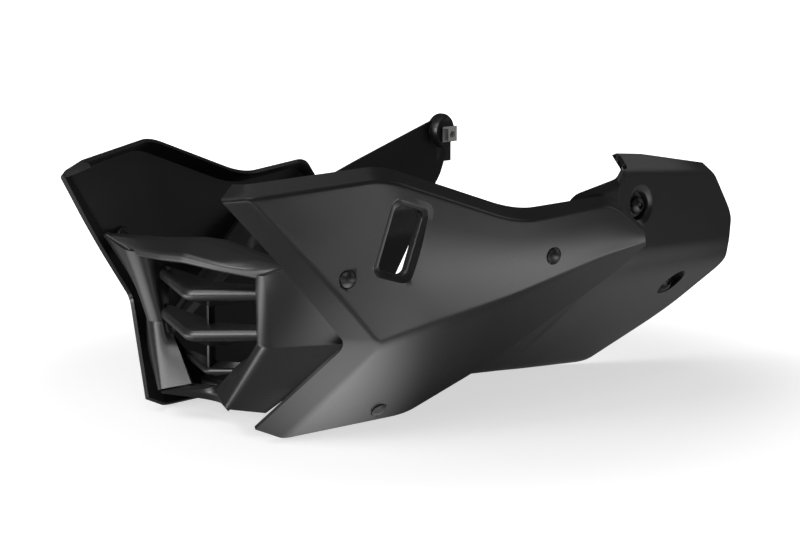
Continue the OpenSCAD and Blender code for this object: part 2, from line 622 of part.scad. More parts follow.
module eyelet_plate() {
  translate(eyelet) rotate([90, 0, 0]) {
    cylinder(eyelet_wall, r = eyelet_r, $fn = 64);
    difference() {
      translate([0, 0, eyelet_wall - 1]) cylinder(cup_depth + 1, r = eyelet_r - 0.5, $fn = 64);
      cylinder(eyelet_wall + cup_depth + 1, r = eyelet_r - 3, $fn = 64);
      translate([-2, -eyelet_r - 1, 0]) cube([2 * eyelet_r, 2 * eyelet_r + 2, eyelet_wall + cup_depth + 1]);
    }
  }
  translate([0, eyelet[1], 0]) rotate([90, 0, 0]) linear_extrude(eyelet_wall)
    polygon([[eyelet[0] - 4, eyelet[2]], [eyelet[0] + eyelet_r - 1, eyelet[2] - 5], [211, 141], [200, 139]]);
}
module right_clip_nut() {
  leaf_w = clip_nut + 3;
  leaf_l = clip_end - clip_x + leaf_w / 2 + clip_sheet / 2;
  color(steel) difference() {
    union() {
      translate([clip_x - leaf_w / 2, clip_face - clip_sheet, clip_z - leaf_w / 2])
        cube([leaf_l, clip_sheet, leaf_w]);
      translate([clip_x - leaf_w / 2, eyelet[1] + fit, clip_z - leaf_w / 2])
        cube([leaf_l, clip_sheet, leaf_w]);
      translate([clip_end, clip_face - clip_sheet, clip_z - leaf_w / 2])
        cube([clip_sheet, eyelet_wall + 2 * fit + 2 * clip_sheet, leaf_w]);
      translate([clip_x - clip_nut / 2, clip_face - clip_sheet - clip_nut_h, clip_z - clip_nut / 2])
        cube([clip_nut, clip_nut_h + clip_sheet / 2, clip_nut]);
    }
    translate([clip_x, clip_face + 1, clip_z]) rotate([90, 0, 0])
      cylinder(clip_sheet + clip_nut_h + 2, d = bolt_d, $fn = 48);
    translate([clip_x, eyelet[1] + 5, clip_z]) rotate([90, 0, 0]) cylinder(6, d = bolt_d + 1, $fn = 48);
  }
}

// A thin ear from the tray's crease to the lower rivet, and a boss behind the rear rivet
module lower_ear() {
  hull() {
    tab_disc(lower_spot, tab_wall);
    translate([panel_point(lower_spot)[0], -sill_half - 7, floor_z(-84) + 3])
      cube([2 * tab_r, 4, tab_wall], center = true);
  }
}
module rear_boss() { tab_disc(rear_spot, rear_boss_deep); }
rear_boss_deep = 14;

module rear_tray() {
  color(plastic) difference() {
    union() {
      sheet(tray_skin, tray_wall, 2, 1);
      eyelet_plate();
      at_upper_bolt() boss(pocket_depth);
      at_lower_bolt() intersection() {
        translate([0, 0, boss_r]) boss(lower_depth + boss_r);
        rotate([atan(slope_lean), 0, 0]) translate([-boss_r - 1, -3 * boss_r, -6 * boss_r - tray_wall / 2])
          cube([2 * boss_r + 2, 6 * boss_r, 6 * boss_r]);
      }
      for (side = [-1, 1]) on_side(side) {
        lower_ear();
        rear_boss();
      }
    }
    at_upper_bolt() {
      pocket(pocket_depth);
      translate([0, 0, -dish_sink]) cylinder(2 * dish_sink, d1 = pocket_d, d2 = 2 * dish_d - pocket_d, $fn = 64);
    }
    at_lower_bolt() pocket(lower_depth);
    for (side = [-1, 1]) on_side(side) {
      rivet_bore(lower_spot);
      rivet_bore(rear_spot);
    }
    at_floor_rivets() cylinder(6 * tray_wall, r = rivet_hole_r, center = true, $fn = 32);
    translate([clip_x, eyelet[1] + 5, clip_z]) rotate([90, 0, 0]) cylinder(12, d = bolt_d + 3, $fn = 48);
  }
}

module left_side_panel() { color(plastic) panel_shell(true); }
// The right-hand panel mirrors the left-hand one and has no slot
module right_side_panel() { color(plastic) on_side(1) panel_shell(false); }
module left_front_plunger() { at_spot(front_spot) plunger(rivet_grip); }
module left_front_sleeve() { at_spot(front_spot) sleeve(rivet_grip); }
module left_rear_plunger() { at_spot(rear_spot) plunger(rivet_grip); }
module left_rear_sleeve() { at_spot(rear_spot) sleeve(rivet_grip); }
module left_lower_plunger() { at_spot(lower_spot) plunger(rivet_grip); }
module left_lower_sleeve() { at_spot(lower_spot) sleeve(rivet_grip); }
module right_front_plunger() { on_side(1) left_front_plunger(); }
module right_front_sleeve() { on_side(1) left_front_sleeve(); }
module right_rear_plunger() { on_side(1) left_rear_plunger(); }
module right_rear_sleeve() { on_side(1) left_rear_sleeve(); }
module right_lower_plunger() { on_side(1) left_lower_plunger(); }
module right_lower_sleeve() { on_side(1) left_lower_sleeve(); }
floor_grip = tray_wall + fit + grille_wall;
module floor_plungers() { at_floor_rivets() translate([0, 0, -tray_wall]) rotate([180, 0, 0]) plunger(floor_grip); }
module floor_sleeves() { at_floor_rivets() translate([0, 0, -tray_wall]) rotate([180, 0, 0]) sleeve(floor_grip); }

left_side_panel();
right_side_panel();
front_grille();
rear_tray();
upper_bolt();
upper_spacer();
upper_grommet();
lower_bolt();
lower_spacer();
lower_grommet();
right_clip_nut();
left_front_plunger();
left_front_sleeve();
left_rear_plunger();
left_rear_sleeve();
left_lower_plunger();
left_lower_sleeve();
right_front_plunger();
right_front_sleeve();
right_rear_plunger();
right_rear_sleeve();
right_lower_plunger();
right_lower_sleeve();
floor_plungers();
floor_sleeves();
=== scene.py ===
"""Motorcycle belly pan: two side panels, a front grille and a rear tray in satin black plastic.

Sizes in the classes are millimetres in the part's own frame, with X to the rear of the motorcycle,
Y to its right-hand side and Z up from the floor. Meshes are made in metres.
"""

import logging
import math
from collections.abc import Sequence
from dataclasses import dataclass, field
from enum import Enum
from typing import Any

import bmesh
import bpy
from mathutils import Matrix, Vector

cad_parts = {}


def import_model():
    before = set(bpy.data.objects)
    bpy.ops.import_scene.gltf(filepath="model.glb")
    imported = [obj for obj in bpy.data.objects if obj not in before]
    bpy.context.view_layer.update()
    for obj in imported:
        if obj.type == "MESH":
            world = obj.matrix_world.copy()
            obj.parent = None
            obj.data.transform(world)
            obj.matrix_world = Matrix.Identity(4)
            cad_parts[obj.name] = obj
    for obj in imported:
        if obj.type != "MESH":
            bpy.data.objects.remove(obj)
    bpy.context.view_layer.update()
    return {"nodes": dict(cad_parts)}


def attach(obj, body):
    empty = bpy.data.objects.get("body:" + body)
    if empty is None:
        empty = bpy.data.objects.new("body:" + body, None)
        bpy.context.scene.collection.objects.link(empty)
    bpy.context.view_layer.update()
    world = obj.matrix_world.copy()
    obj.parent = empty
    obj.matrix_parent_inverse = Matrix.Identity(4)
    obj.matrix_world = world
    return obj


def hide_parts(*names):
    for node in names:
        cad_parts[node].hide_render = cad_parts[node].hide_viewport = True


LOG = logging.getLogger("belly_pan")
MM = 0.001
BODY = "root"
WELD = 1e-6
FINISH_WELD = 2e-6
SHORTEST_SPAN = 0.01
RIM_ANGLE = math.radians(55)
CRISP_ANGLE = math.radians(32.0)
Soft = tuple[float, float]
Point = tuple[float, float, float]
Profile = list[tuple[float, float]]


class Slot(Enum):
    """The record's material slots."""

    PANEL = "panel_plastic"
    GRILLE = "grille_plastic"
    TRAY = "tray_plastic"
    NYLON = "rivet_nylon"
    BOLT = "bolt_steel"
    SPACER = "spacer_steel"
    CLIP = "clip_steel"
    RUBBER = "grommet_rubber"


# Shader building


class Signal:
    """One value of a material's node tree, which Python operators combine."""

    def __init__(self, bench: "Bench", socket: bpy.types.NodeSocket) -> None:
        """Keeps the bench that owns the tree and the socket that gives the value."""
        self.bench = bench
        self.socket = socket

    def _math(self, operation: str, left: Any, right: Any) -> "Signal":
        """Adds a Math node.

        Args:
            operation: The Math node's operation.
            left: The first value, a number or a signal.
            right: The second value, a number or a signal.

        Returns:
            The signal that the node gives.
        """
        made = self.bench.node("ShaderNodeMath", {"operation": operation}, {0: left, 1: right})
        return Signal(self.bench, made.outputs[0])

    def __add__(self, other: Any) -> "Signal":
        """Adds a number or a signal."""
        return self._math("ADD", self, other)

    def __radd__(self, other: Any) -> "Signal":
        """Adds a number on the left."""
        return self._math("ADD", other, self)

    def __sub__(self, other: Any) -> "Signal":
        """Takes a number or a signal away."""
        return self._math("SUBTRACT", self, other)

    def __rsub__(self, other: Any) -> "Signal":
        """Takes this signal from a number."""
        return self._math("SUBTRACT", other, self)

    def __mul__(self, other: Any) -> "Signal":
        """Multiplies by a number or a signal."""
        return self._math("MULTIPLY", self, other)

    def __rmul__(self, other: Any) -> "Signal":
        """Multiplies a number on the left."""
        return self._math("MULTIPLY", other, self)


class Bench:
    """Adds nodes to the tree of a material or of the world."""

    def __init__(self, owner: bpy.types.Material | bpy.types.World) -> None:
        """Empties the tree.

        Args:
            owner: What the nodes belong to.
        """
        owner.use_nodes = True
        self.tree = owner.node_tree
        self.tree.nodes.clear()

    def node(self, kind: str, settings: dict[str, Any] | None = None,
             inputs: dict[str | int, Any] | None = None) -> bpy.types.Node:
        """Adds one node.

        Args:
            kind: The node's type.
            settings: Its settings, which are set first.
            inputs: The value, signal or socket for each of its inputs.

        Returns:
            The new node.
        """
        made = self.tree.nodes.new(kind)
        for key, value in (settings or {}).items():
            setattr(made, key, value)
        for key, value in (inputs or {}).items():
            self.feed(made.inputs[key], value)
        return made

    def feed(self, socket: bpy.types.NodeSocket, value: Any) -> None:
        """Links a signal or a socket to an input, or sets its value.

        Args:
            socket: The input.
            value: What it gets.
        """
        if isinstance(value, Signal):
            value = value.socket
        if isinstance(value, bpy.types.NodeSocket):
            self.tree.links.new(value, socket)
        else:
            socket.default_value = value


class Coat(Bench):
    """Builds one procedural material on object coordinates."""

    def __init__(self, name: str) -> None:
        """Starts the material with its shader.

        Args:
            name: The material's name.
        """
        self.material = bpy.data.materials.new(name)
        super().__init__(self.material)
        self.shader = self.node("ShaderNodeBsdfPrincipled")
        surface = {"Surface": self.shader.outputs[0]}
        self.output = self.node("ShaderNodeOutputMaterial", inputs=surface)
        self.place = self.node("ShaderNodeTexCoord").outputs["Object"]

    def shade(self, name: str, value: Any) -> None:
        """Feeds one of the shader's inputs."""
        self.feed(self.shader.inputs[name], value)

    def noise(self, waves: float, detail: float, stretch: Point = (1.0, 1.0, 1.0)) -> Signal:
        """Adds a noise over the object.

        Args:
            waves: Waves a metre.
            detail: Octaves of finer noise.
            stretch: Scale along each axis.

        Returns:
            A signal near 0.5.
        """
        mapping = self.node("ShaderNodeMapping", inputs={"Vector": self.place, "Scale": stretch})
        made = self.node("ShaderNodeTexNoise", {"noise_dimensions": "3D"}, {
            "Vector": mapping.outputs[0], "Scale": waves, "Detail": detail, "Roughness": 0.55})
        return Signal(self, made.outputs[0])

    def blend(self, share: Signal, first: Sequence[float],
              second: Sequence[float]) -> bpy.types.NodeSocket:
        """Mixes two colours.

        Args:
            share: The second colour's share.
            first: The first colour.
            second: The second colour.

        Returns:
            The mixed colour's socket.
        """
        made = self.node("ShaderNodeMix", {"data_type": "RGBA"},
                         {0: share, 6: (*first, 1.0), 7: (*second, 1.0)})
        return made.outputs[2]

    def bump(self, height: Signal, strength: float, distance: float) -> None:
        """Feeds a height into the shader's normal.

        Args:
            height: The height, from 0 to 1.
            strength: How strongly it shows.
            distance: The height's range, in metres.
        """
        made = self.node("ShaderNodeBump", inputs={
            "Height": height, "Strength": strength, "Distance": distance})
        self.shade("Normal", made.outputs[0])


def tint(colour: Sequence[float], shares: Sequence[float]) -> tuple[float, ...]:
    """Returns a colour with each of its values multiplied by a share."""
    return tuple(value * share for value, share in zip(colour, shares))


@dataclass(frozen=True)
class MouldedPlastic:
    """Satin moulded plastic with a fine grain, slow sink waves and faint handling marks."""

    name: str
    tone: float
    roughness: float = 0.29
    grain: float = 0.16
    specular: float = 0.5
    sink_waves: float = 9.0
    grain_waves: float = 1500.0
    mark_waves: float = 60.0
    mark_stretch: Point = (1.0, 2.5, 4.0)
    darkest: Point = (0.88, 0.88, 0.9)
    lightest: Point = (1.12, 1.12, 1.16)
    relief: float = 0.0003

    def material(self) -> bpy.types.Material:
        """Builds the material.

        Returns:
            The material.
        """
        coat = Coat(self.name)
        sink = coat.noise(self.sink_waves, 2.0)
        grain = coat.noise(self.grain_waves, 3.0)
        marks = coat.noise(self.mark_waves, 5.0, self.mark_stretch)
        grey = (self.tone,) * 3
        coat.shade("Base Color", coat.blend(
            sink * 0.7 + marks * 0.3, tint(grey, self.darkest), tint(grey, self.lightest)))
        coat.shade("Roughness", self.roughness - 0.07 + sink * 0.06 + grain * 0.05 + marks * 0.03)
        coat.shade("Specular IOR Level", self.specular)
        coat.bump(grain * 0.6 + marks * 0.25 + sink * 0.5, self.grain, self.relief)
        return coat.material


@dataclass(frozen=True)
class Metal:
    """Metal with a drawn or plated grain and slightly uneven gloss."""

    name: str
    colour: Point
    roughness: float
    metallic: float = 1.0
    drawn_waves: float = 900.0
    drawn_stretch: Point = (1.0, 1.0, 6.0)
    cloud_waves: float = 120.0
    tarnish: float = 0.86
    grain: float = 0.12
    relief: float = 0.0001

    def material(self) -> bpy.types.Material:
        """Builds the material.

        Returns:
            The material.
        """
        coat = Coat(self.name)
        drawn = coat.noise(self.drawn_waves, 4.0, self.drawn_stretch)
        cloud = coat.noise(self.cloud_waves, 3.0)
        dark = tint(self.colour, (self.tarnish,) * 3)
        coat.shade("Base Color", coat.blend(cloud * 0.5 + drawn * 0.5, dark, self.colour))
        coat.shade("Metallic", self.metallic)
        coat.shade("Roughness", self.roughness - 0.08 + drawn * 0.1 + cloud * 0.06)
        coat.bump(drawn * 0.7 + cloud * 0.3, self.grain, self.relief)
        return coat.material


@dataclass(frozen=True)
class Rubber:
    """Matt black rubber with a soft bloom and a moulded texture."""

    name: str
    tone: float = 0.02
    roughness: float = 0.62
    bloom_waves: float = 160.0
    pit_waves: float = 1800.0
    darkest: Point = (0.8, 0.8, 0.8)
    lightest: Point = (1.6, 1.6, 1.5)
    grain: float = 0.3
    relief: float = 0.0002

    def material(self) -> bpy.types.Material:
        """Builds the material.

        Returns:
            The material.
        """
        coat = Coat(self.name)
        bloom = coat.noise(self.bloom_waves, 3.0)
        pits = coat.noise(self.pit_waves, 3.0)
        grey = (self.tone,) * 3
        coat.shade("Base Color", coat.blend(
            bloom, tint(grey, self.darkest), tint(grey, self.lightest)))
        coat.shade("Roughness", self.roughness + pits * 0.16 + bloom * 0.06)
        coat.bump(pits, self.grain, self.relief)
        return coat.material


class Finishes:
    """The materials of the whole part, made once and shared."""

    def __init__(self) -> None:
        """Builds every finish."""
        recipes = {
            Slot.PANEL: MouldedPlastic("panel_plastic", 0.017),
            Slot.GRILLE: MouldedPlastic("grille_plastic", 0.017),
            Slot.TRAY: MouldedPlastic("tray_plastic", 0.013, roughness=0.3),
            Slot.NYLON: MouldedPlastic("rivet_nylon", 0.018, roughness=0.34, grain=0.1),
            Slot.BOLT: Metal("bolt_steel", (0.03, 0.03, 0.032), 0.34, metallic=0.6),
            Slot.SPACER: Metal("spacer_steel", (0.55, 0.55, 0.54), 0.32),
            Slot.CLIP: Metal("clip_steel", (0.9, 0.9, 0.88), 0.42, metallic=0.45),
            Slot.RUBBER: Rubber("grommet_rubber"),
        }
        self.by_slot = {slot: recipe.material() for slot, recipe in recipes.items()}

    def dress(self, piece: bpy.types.Object, slot: Slot) -> None:
        """Gives a piece the material of its slot."""
        piece.data.materials.clear()
        piece.data.materials.append(self.by_slot[slot])


# Curved faces through rows of control points


def bend(first: Vector, middle: Vector, last: Vector, share: float) -> Vector:
    """Returns a place on the soft corner between two straight stretches."""
    rest = 1 - share
    return first * rest * rest + middle * 2 * share * rest + last * share * share


def on_run(run: Sequence[Vector], soft: Sequence[Soft], at: float) -> Vector:
    """Finds a place on a run of points whose inner corners are soft.

    Args:
        run: The points.
        soft: For each inner corner, the shares of the spans before and after that its curve takes.
        at: The place, counted in spans.

    Returns:
        The point there.
    """
    last = len(run) - 1
    corner = max(1, min(last - 1, int(math.floor(at + 0.5))))
    before, after = soft[corner - 1]
    if corner - before <= at <= corner + after and before + after > 0:
        start = run[corner].lerp(run[corner - 1], before)
        end = run[corner].lerp(run[corner + 1], after)
        return bend(start, run[corner], end, (at - corner + before) / (before + after))
    span = min(last - 1, int(math.floor(at)))
    return run[span].lerp(run[span + 1], at - span)


def stops(soft: Sequence[Soft], round_steps: int, flat_steps: int) -> list[float]:
    """Lists the places along a run where a mesh has its lines.

    Args:
        soft: The softness of each inner corner.
        round_steps: Lines round each corner.
        flat_steps: Lines on each straight stretch.

    Returns:
        The places, counted in spans.
    """
    ends = [0.0]
    for index, (before, after) in enumerate(soft):
        ends += [index + 1 - before, index + 1 + after]
    ends.append(float(len(soft) + 1))
    found = [0.0]
    for index, (start, end) in enumerate(zip(ends, ends[1:])):
        steps = round_steps if index % 2 else flat_steps
        if end - start > SHORTEST_SPAN:
            found += [start + (end - start) * step / steps for step in range(1, steps + 1)]
    return found


@dataclass(frozen=True)
class Skin:
    """The outer face of a moulding: rows of control points with soft corners both ways."""

    rows: Sequence[Sequence[Point]]
    along: Sequence[Soft]
    across: Sequence[Soft]

    def point(self, u: float, v: float) -> Vector:
        """Returns the place u spans along the rows and v rows across."""
        places = [on_run([Vector(p) for p in row], self.along, u) for row in self.rows]
        return on_run(places, self.across, v)

    def out(self, u: float, v: float) -> Vector:
        """Finds the direction that faces out of the moulding.

        Args:
            u: Place along the rows.
            v: Place across the rows.

        Returns:
            A direction of length 1.
        """
        step = 0.03
        u_end, v_end = len(self.rows[0]) - 1, len(self.rows) - 1
        down = self.point(u, min(v_end, v + step)) - self.point(u, max(0, v - step))
        rear = self.point(min(u_end, u + step), v) - self.point(max(0, u - step), v)
        return down.cross(rear).normalized()

    def seat(self, u: float, v: float, spin: float = 0.0) -> Matrix:
        """Finds the frame of something that sits on the face, in metres.

        Args:
            u: Place along the rows.
            v: Place across the rows.
            spin: Turn about the outward direction, in degrees.

        Returns:
            A matrix whose Z axis points out of the face.
        """
        out = self.out(u, v)
        polar = math.acos(max(-1.0, min(1.0, out.z)))
        turn = Matrix.Rotation(math.atan2(out.y, out.x), 4, "Z") @ Matrix.Rotation(polar, 4, "Y")
        spun = turn @ Matrix.Rotation(math.radians(spin), 4, "Z")
        return Matrix.Translation(self.point(u, v) * MM) @ spun


# Mesh tools


class Stock:
    """Mesh operations that every sub-assembly uses."""

    @staticmethod
    def piece(name: str, mesh: bmesh.types.BMesh) -> bpy.types.Object:
        """Turns a bmesh into an object in the scene.

        Args:
            name: The object's name.
            mesh: The bmesh, which is freed.

        Returns:
            The object.
        """
        data = bpy.data.meshes.new(name)
        mesh.to_mesh(data)
        mesh.free()
        made = bpy.data.objects.new(name, data)
        bpy.context.scene.collection.objects.link(made)
        return made

    @staticmethod
    def settle(piece: bpy.types.Object) -> bpy.types.Object:
        """Makes a piece's modifiers part of its mesh.

        Args:
            piece: The piece.

        Returns:
            The same piece.
        """
        graph = bpy.context.evaluated_depsgraph_get()
        data = bpy.data.meshes.new_from_object(piece.evaluated_get(graph))
        piece.modifiers.clear()
        piece.data = data
        return piece

    @staticmethod
    def wall(piece: bpy.types.Object, thickness: float, rim: float) -> bpy.types.Object:
        """Gives a face its wall and rounds its rims.

        Args:
            piece: The open face.
            thickness: Wall, in millimetres, laid on the inner side.
            rim: Radius of the rims, in millimetres, or 0 for crisp rims.

        Returns:
            The same piece.
        """
        solid = piece.modifiers.new("wall", "SOLIDIFY")
        solid.thickness = thickness * MM
        solid.offset = -1.0
        Stock.settle(piece)
        if rim == 0:
            return piece
        soft = piece.modifiers.new("rim", "BEVEL")
        soft.limit_method = "ANGLE"
        soft.angle_limit = RIM_ANGLE
        soft.width = rim * MM
        soft.segments = 3
        return Stock.settle(piece)

    @staticmethod
    def sheet(name: str, skin: Skin, thickness: float, rim: float,
              round_steps: int, flat_steps: int) -> bpy.types.Object:
        """Lays a grid on a skin and gives it a wall.

        Args:
            name: The piece's name.
            skin: The outer face.
            thickness: Wall, in millimetres.
            rim: Radius of the rims, in millimetres, or 0 for crisp rims.
            round_steps: Lines round each soft corner.
            flat_steps: Lines on each straight stretch.

        Returns:
            The closed moulding.
        """
        us = stops(skin.along, round_steps, flat_steps)
        vs = stops(skin.across, round_steps, flat_steps)
        mesh = bmesh.new()
        bmesh.ops.create_grid(mesh, x_segments=len(us) - 1, y_segments=len(vs) - 1, size=1.0)
        for corner in mesh.verts:
            u = us[round((corner.co.x + 1) / 2 * (len(us) - 1))]
            v = vs[round((corner.co.y + 1) / 2 * (len(vs) - 1))]
            corner.co = skin.point(u, v) * MM
        mesh.normal_update()
        middle_u, middle_v = us[len(us) // 2], vs[len(vs) // 2]
        middle = skin.point(middle_u, middle_v) * MM
        nearest = min(mesh.faces, key=lambda face: (face.calc_center_median() - middle).length)
        if nearest.normal.dot(skin.out(middle_u, middle_v)) < 0:
            bmesh.ops.reverse_faces(mesh, faces=mesh.faces[:])
        return Stock.wall(Stock.piece(name, mesh), thickness, rim)

    @staticmethod
    def lathe(name: str, profile: Profile, place: Matrix, steps: int = 64) -> bpy.types.Object:
        """Turns a closed profile round the Z axis.

        Args:
            name: The piece's name.
            profile: Radius and height of each corner, in millimetres.
            place: Where the axis goes.
            steps: Faces round the axis.

        Returns:
            The turned piece.
        """
        mesh = bmesh.new()
        corners = [mesh.verts.new((radius * MM, 0.0, height * MM)) for radius, height in profile]
        edges = [mesh.edges.new(pair) for pair in zip(corners, corners[1:])]
        if profile[0][0] > 0 or profile[-1][0] > 0:
            edges.append(mesh.edges.new((corners[-1], corners[0])))
        bmesh.ops.spin(mesh, geom=corners + edges, cent=(0, 0, 0), axis=(0, 0, 1),
                       angle=math.tau, steps=steps, use_merge=True)
        bmesh.ops.remove_doubles(mesh, verts=mesh.verts[:], dist=WELD)
        bmesh.ops.recalc_face_normals(mesh, faces=mesh.faces[:])
        bmesh.ops.transform(mesh, matrix=place, verts=mesh.verts[:])
        return Stock.piece(name, mesh)

    @staticmethod
    def raised(mesh: bmesh.types.BMesh,
               faces: Sequence[bmesh.types.BMFace]) -> list[bmesh.types.BMFace]:
        """Extrudes faces in place.

        Args:
            mesh: The bmesh.
            faces: The faces.

        Returns:
            The new faces.
        """
        edges = dict.fromkeys(edge for face in faces for edge in face.edges)
        corners = dict.fromkeys(corner for face in faces for corner in face.verts)
        made = bmesh.ops.extrude_face_region(mesh, geom=[*faces, *edges, *corners])["geom"]
        return [item for item in made if isinstance(item, bmesh.types.BMFace)]

    @staticmethod
    def funnel(name: str, levels: Sequence[Point], corner: float,
               place: Matrix) -> bpy.types.Object:
        """Extrudes a rounded plate through levels of changing size.

        Args:
            name: The piece's name.
            levels: Height, length and width of each level, in millimetres, from the lowest up.
            corner: Corner radius of the first level, in millimetres.
            place: Where it goes.

        Returns:
            The closed piece.
        """
        mesh = bmesh.new()
        bmesh.ops.create_grid(mesh, x_segments=1, y_segments=1, size=0.5)
        low, length, width = levels[0]
        bmesh.ops.scale(mesh, vec=(length * MM, width * MM, 1.0), verts=mesh.verts[:])
        bmesh.ops.translate(mesh, vec=(0, 0, low * MM), verts=mesh.verts[:])
        bmesh.ops.bevel(mesh, geom=mesh.verts[:], offset=corner * MM, offset_type="OFFSET",
                        segments=8, profile=0.5, affect="VERTICES", material=-1)
        top = mesh.faces[:]
        for (height, long, wide), (before, long_before, wide_before) in zip(levels[1:], levels):
            top = Stock.raised(mesh, top)
            rim = list(dict.fromkeys(corner for face in top for corner in face.verts))
            bmesh.ops.scale(mesh, vec=(long / long_before, wide / wide_before, 1.0), verts=rim)
            bmesh.ops.translate(mesh, vec=(0, 0, (height - before) * MM), verts=rim)
        bmesh.ops.recalc_face_normals(mesh, faces=mesh.faces[:])
        bmesh.ops.transform(mesh, matrix=place, verts=mesh.verts[:])
        return Stock.piece(name, mesh)

    @staticmethod
    def block(name: str, low: Point, high: Point, rim: float,
              place: Matrix | None = None) -> bpy.types.Object:
        """Makes a block with rounded edges.

        Args:
            name: The piece's name.
            low: Its lowest corner, in millimetres.
            high: Its highest corner, in millimetres.
            rim: Radius of its edges, in millimetres.
            place: A frame to put it in.

        Returns:
            The block.
        """
        mesh = bmesh.new()
        bmesh.ops.create_cube(mesh, size=1.0)
        size = [(b - a) * MM for a, b in zip(low, high)]
        middle = [(a + b) / 2 * MM for a, b in zip(low, high)]
        bmesh.ops.scale(mesh, vec=size, verts=mesh.verts[:])
        bmesh.ops.translate(mesh, vec=middle, verts=mesh.verts[:])
        bmesh.ops.bevel(mesh, geom=mesh.edges[:], offset=rim * MM, offset_type="OFFSET",
                        segments=2, profile=0.5, affect="EDGES", material=-1)
        bmesh.ops.transform(mesh, matrix=place or Matrix.Identity(4), verts=mesh.verts[:])
        return Stock.piece(name, mesh)

    @staticmethod
    def combine(target: bpy.types.Object, tool: bpy.types.Object,
                operation: str) -> bpy.types.Object:
        """Cuts a tool out of a piece, adds it or keeps what they share, and removes the tool.

        Args:
            target: The piece.
            tool: The other solid.
            operation: DIFFERENCE, UNION or INTERSECT.

        Returns:
            The piece.
        """
        change = target.modifiers.new("cut", "BOOLEAN")
        change.operation = operation
        change.solver = "EXACT"
        change.object = tool
        Stock.settle(target)
        bpy.data.objects.remove(tool)
        return target

    @staticmethod
    def gather(name: str, parts: Sequence[bpy.types.Object]) -> bpy.types.Object:
        """Joins parts into one piece.

        Args:
            name: The new piece's name.
            parts: The parts, which are removed.

        Returns:
            The new piece.
        """
        mesh = bmesh.new()
        for part in parts:
            mesh.from_mesh(part.data)
            bpy.data.objects.remove(part)
        return Stock.piece(name, mesh)

    @staticmethod
    def mirrored(name: str, piece: bpy.types.Object) -> bpy.types.Object:
        """Makes the mirror image of a piece on the other side.

        Args:
            name: The new piece's name.
            piece: The piece, which stays.

        Returns:
            The mirror image, with its faces turned outwards.
        """
        mesh = bmesh.new()
        mesh.from_mesh(piece.data)
        bmesh.ops.scale(mesh, vec=(1.0, -1.0, 1.0), verts=mesh.verts[:])
        bmesh.ops.reverse_faces(mesh, faces=mesh.faces[:])
        return Stock.piece(name, mesh)

    @staticmethod
    def finish(piece: bpy.types.Object) -> bpy.types.Object:
        """Smooths a piece's faces and keeps its sharper edges crisp.

        Args:
            piece: The piece.

        Returns:
            The same piece.
        """
        mesh = bmesh.new()
        mesh.from_mesh(piece.data)
        bmesh.ops.remove_doubles(mesh, verts=mesh.verts[:], dist=FINISH_WELD)
        bmesh.ops.dissolve_degenerate(mesh, dist=WELD, edges=mesh.edges[:])
        for face in mesh.faces:
            face.smooth = True
        for edge in mesh.edges:
            edge.smooth = len(edge.link_faces) == 2 and edge.calc_face_angle(0.0) < CRISP_ANGLE
        mesh.to_mesh(piece.data)
        mesh.free()
        return piece


class Fitter:
    """Puts finished pieces on the frame."""

    def __init__(self, finishes: Finishes) -> None:
        """Keeps the finishes."""
        self.finishes = finishes

    def fit(self, piece: bpy.types.Object, slot: Slot, *nodes: str) -> None:
        """Dresses a new piece, makes it ride on the part and hides what it replaces.

        Args:
            piece: The new piece.
            slot: Its material slot.
            nodes: The solids that it stands for.
        """
        self.finishes.dress(piece, slot)
        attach(piece, BODY)
        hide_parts(*nodes)
        faces = len(piece.data.polygons)
        LOG.info("%s: %d faces, stands for %s", piece.name, faces, ", ".join(nodes))

    def keep(self, node: bpy.types.Object, slot: Slot) -> None:
        """Gives a carried-over solid its finish."""
        self.finishes.dress(node, slot)
        LOG.info("%s: kept, finished as %s", node.name, slot.value)


def flip(point: Point) -> Point:
    """Returns the mirror image of a point on the other side."""
    return (point[0], -point[1], point[2])


def shift(point: Point, x: float, y: float, z: float) -> Point:
    """Returns a point moved by a distance along each axis."""
    return (point[0] + x, point[1] + y, point[2] + z)


def between(first: Point, second: Point, share: float) -> Point:
    """Returns the point at a share of the way between two points."""
    return tuple(a + (b - a) * share for a, b in zip(first, second))


def aimed(start: Vector, end: Vector, up: str = "Y") -> Matrix:
    """Finds the frame of something long that runs from one point to another.

    Args:
        start: Where it starts, in millimetres.
        end: Where it ends.
        up: Its own axis that stays upright.

    Returns:
        A matrix in metres whose Z axis points at the end.
    """
    turn = (end - start).to_track_quat("Z", up).to_matrix().to_4x4()
    return Matrix.Translation(start * MM) @ turn


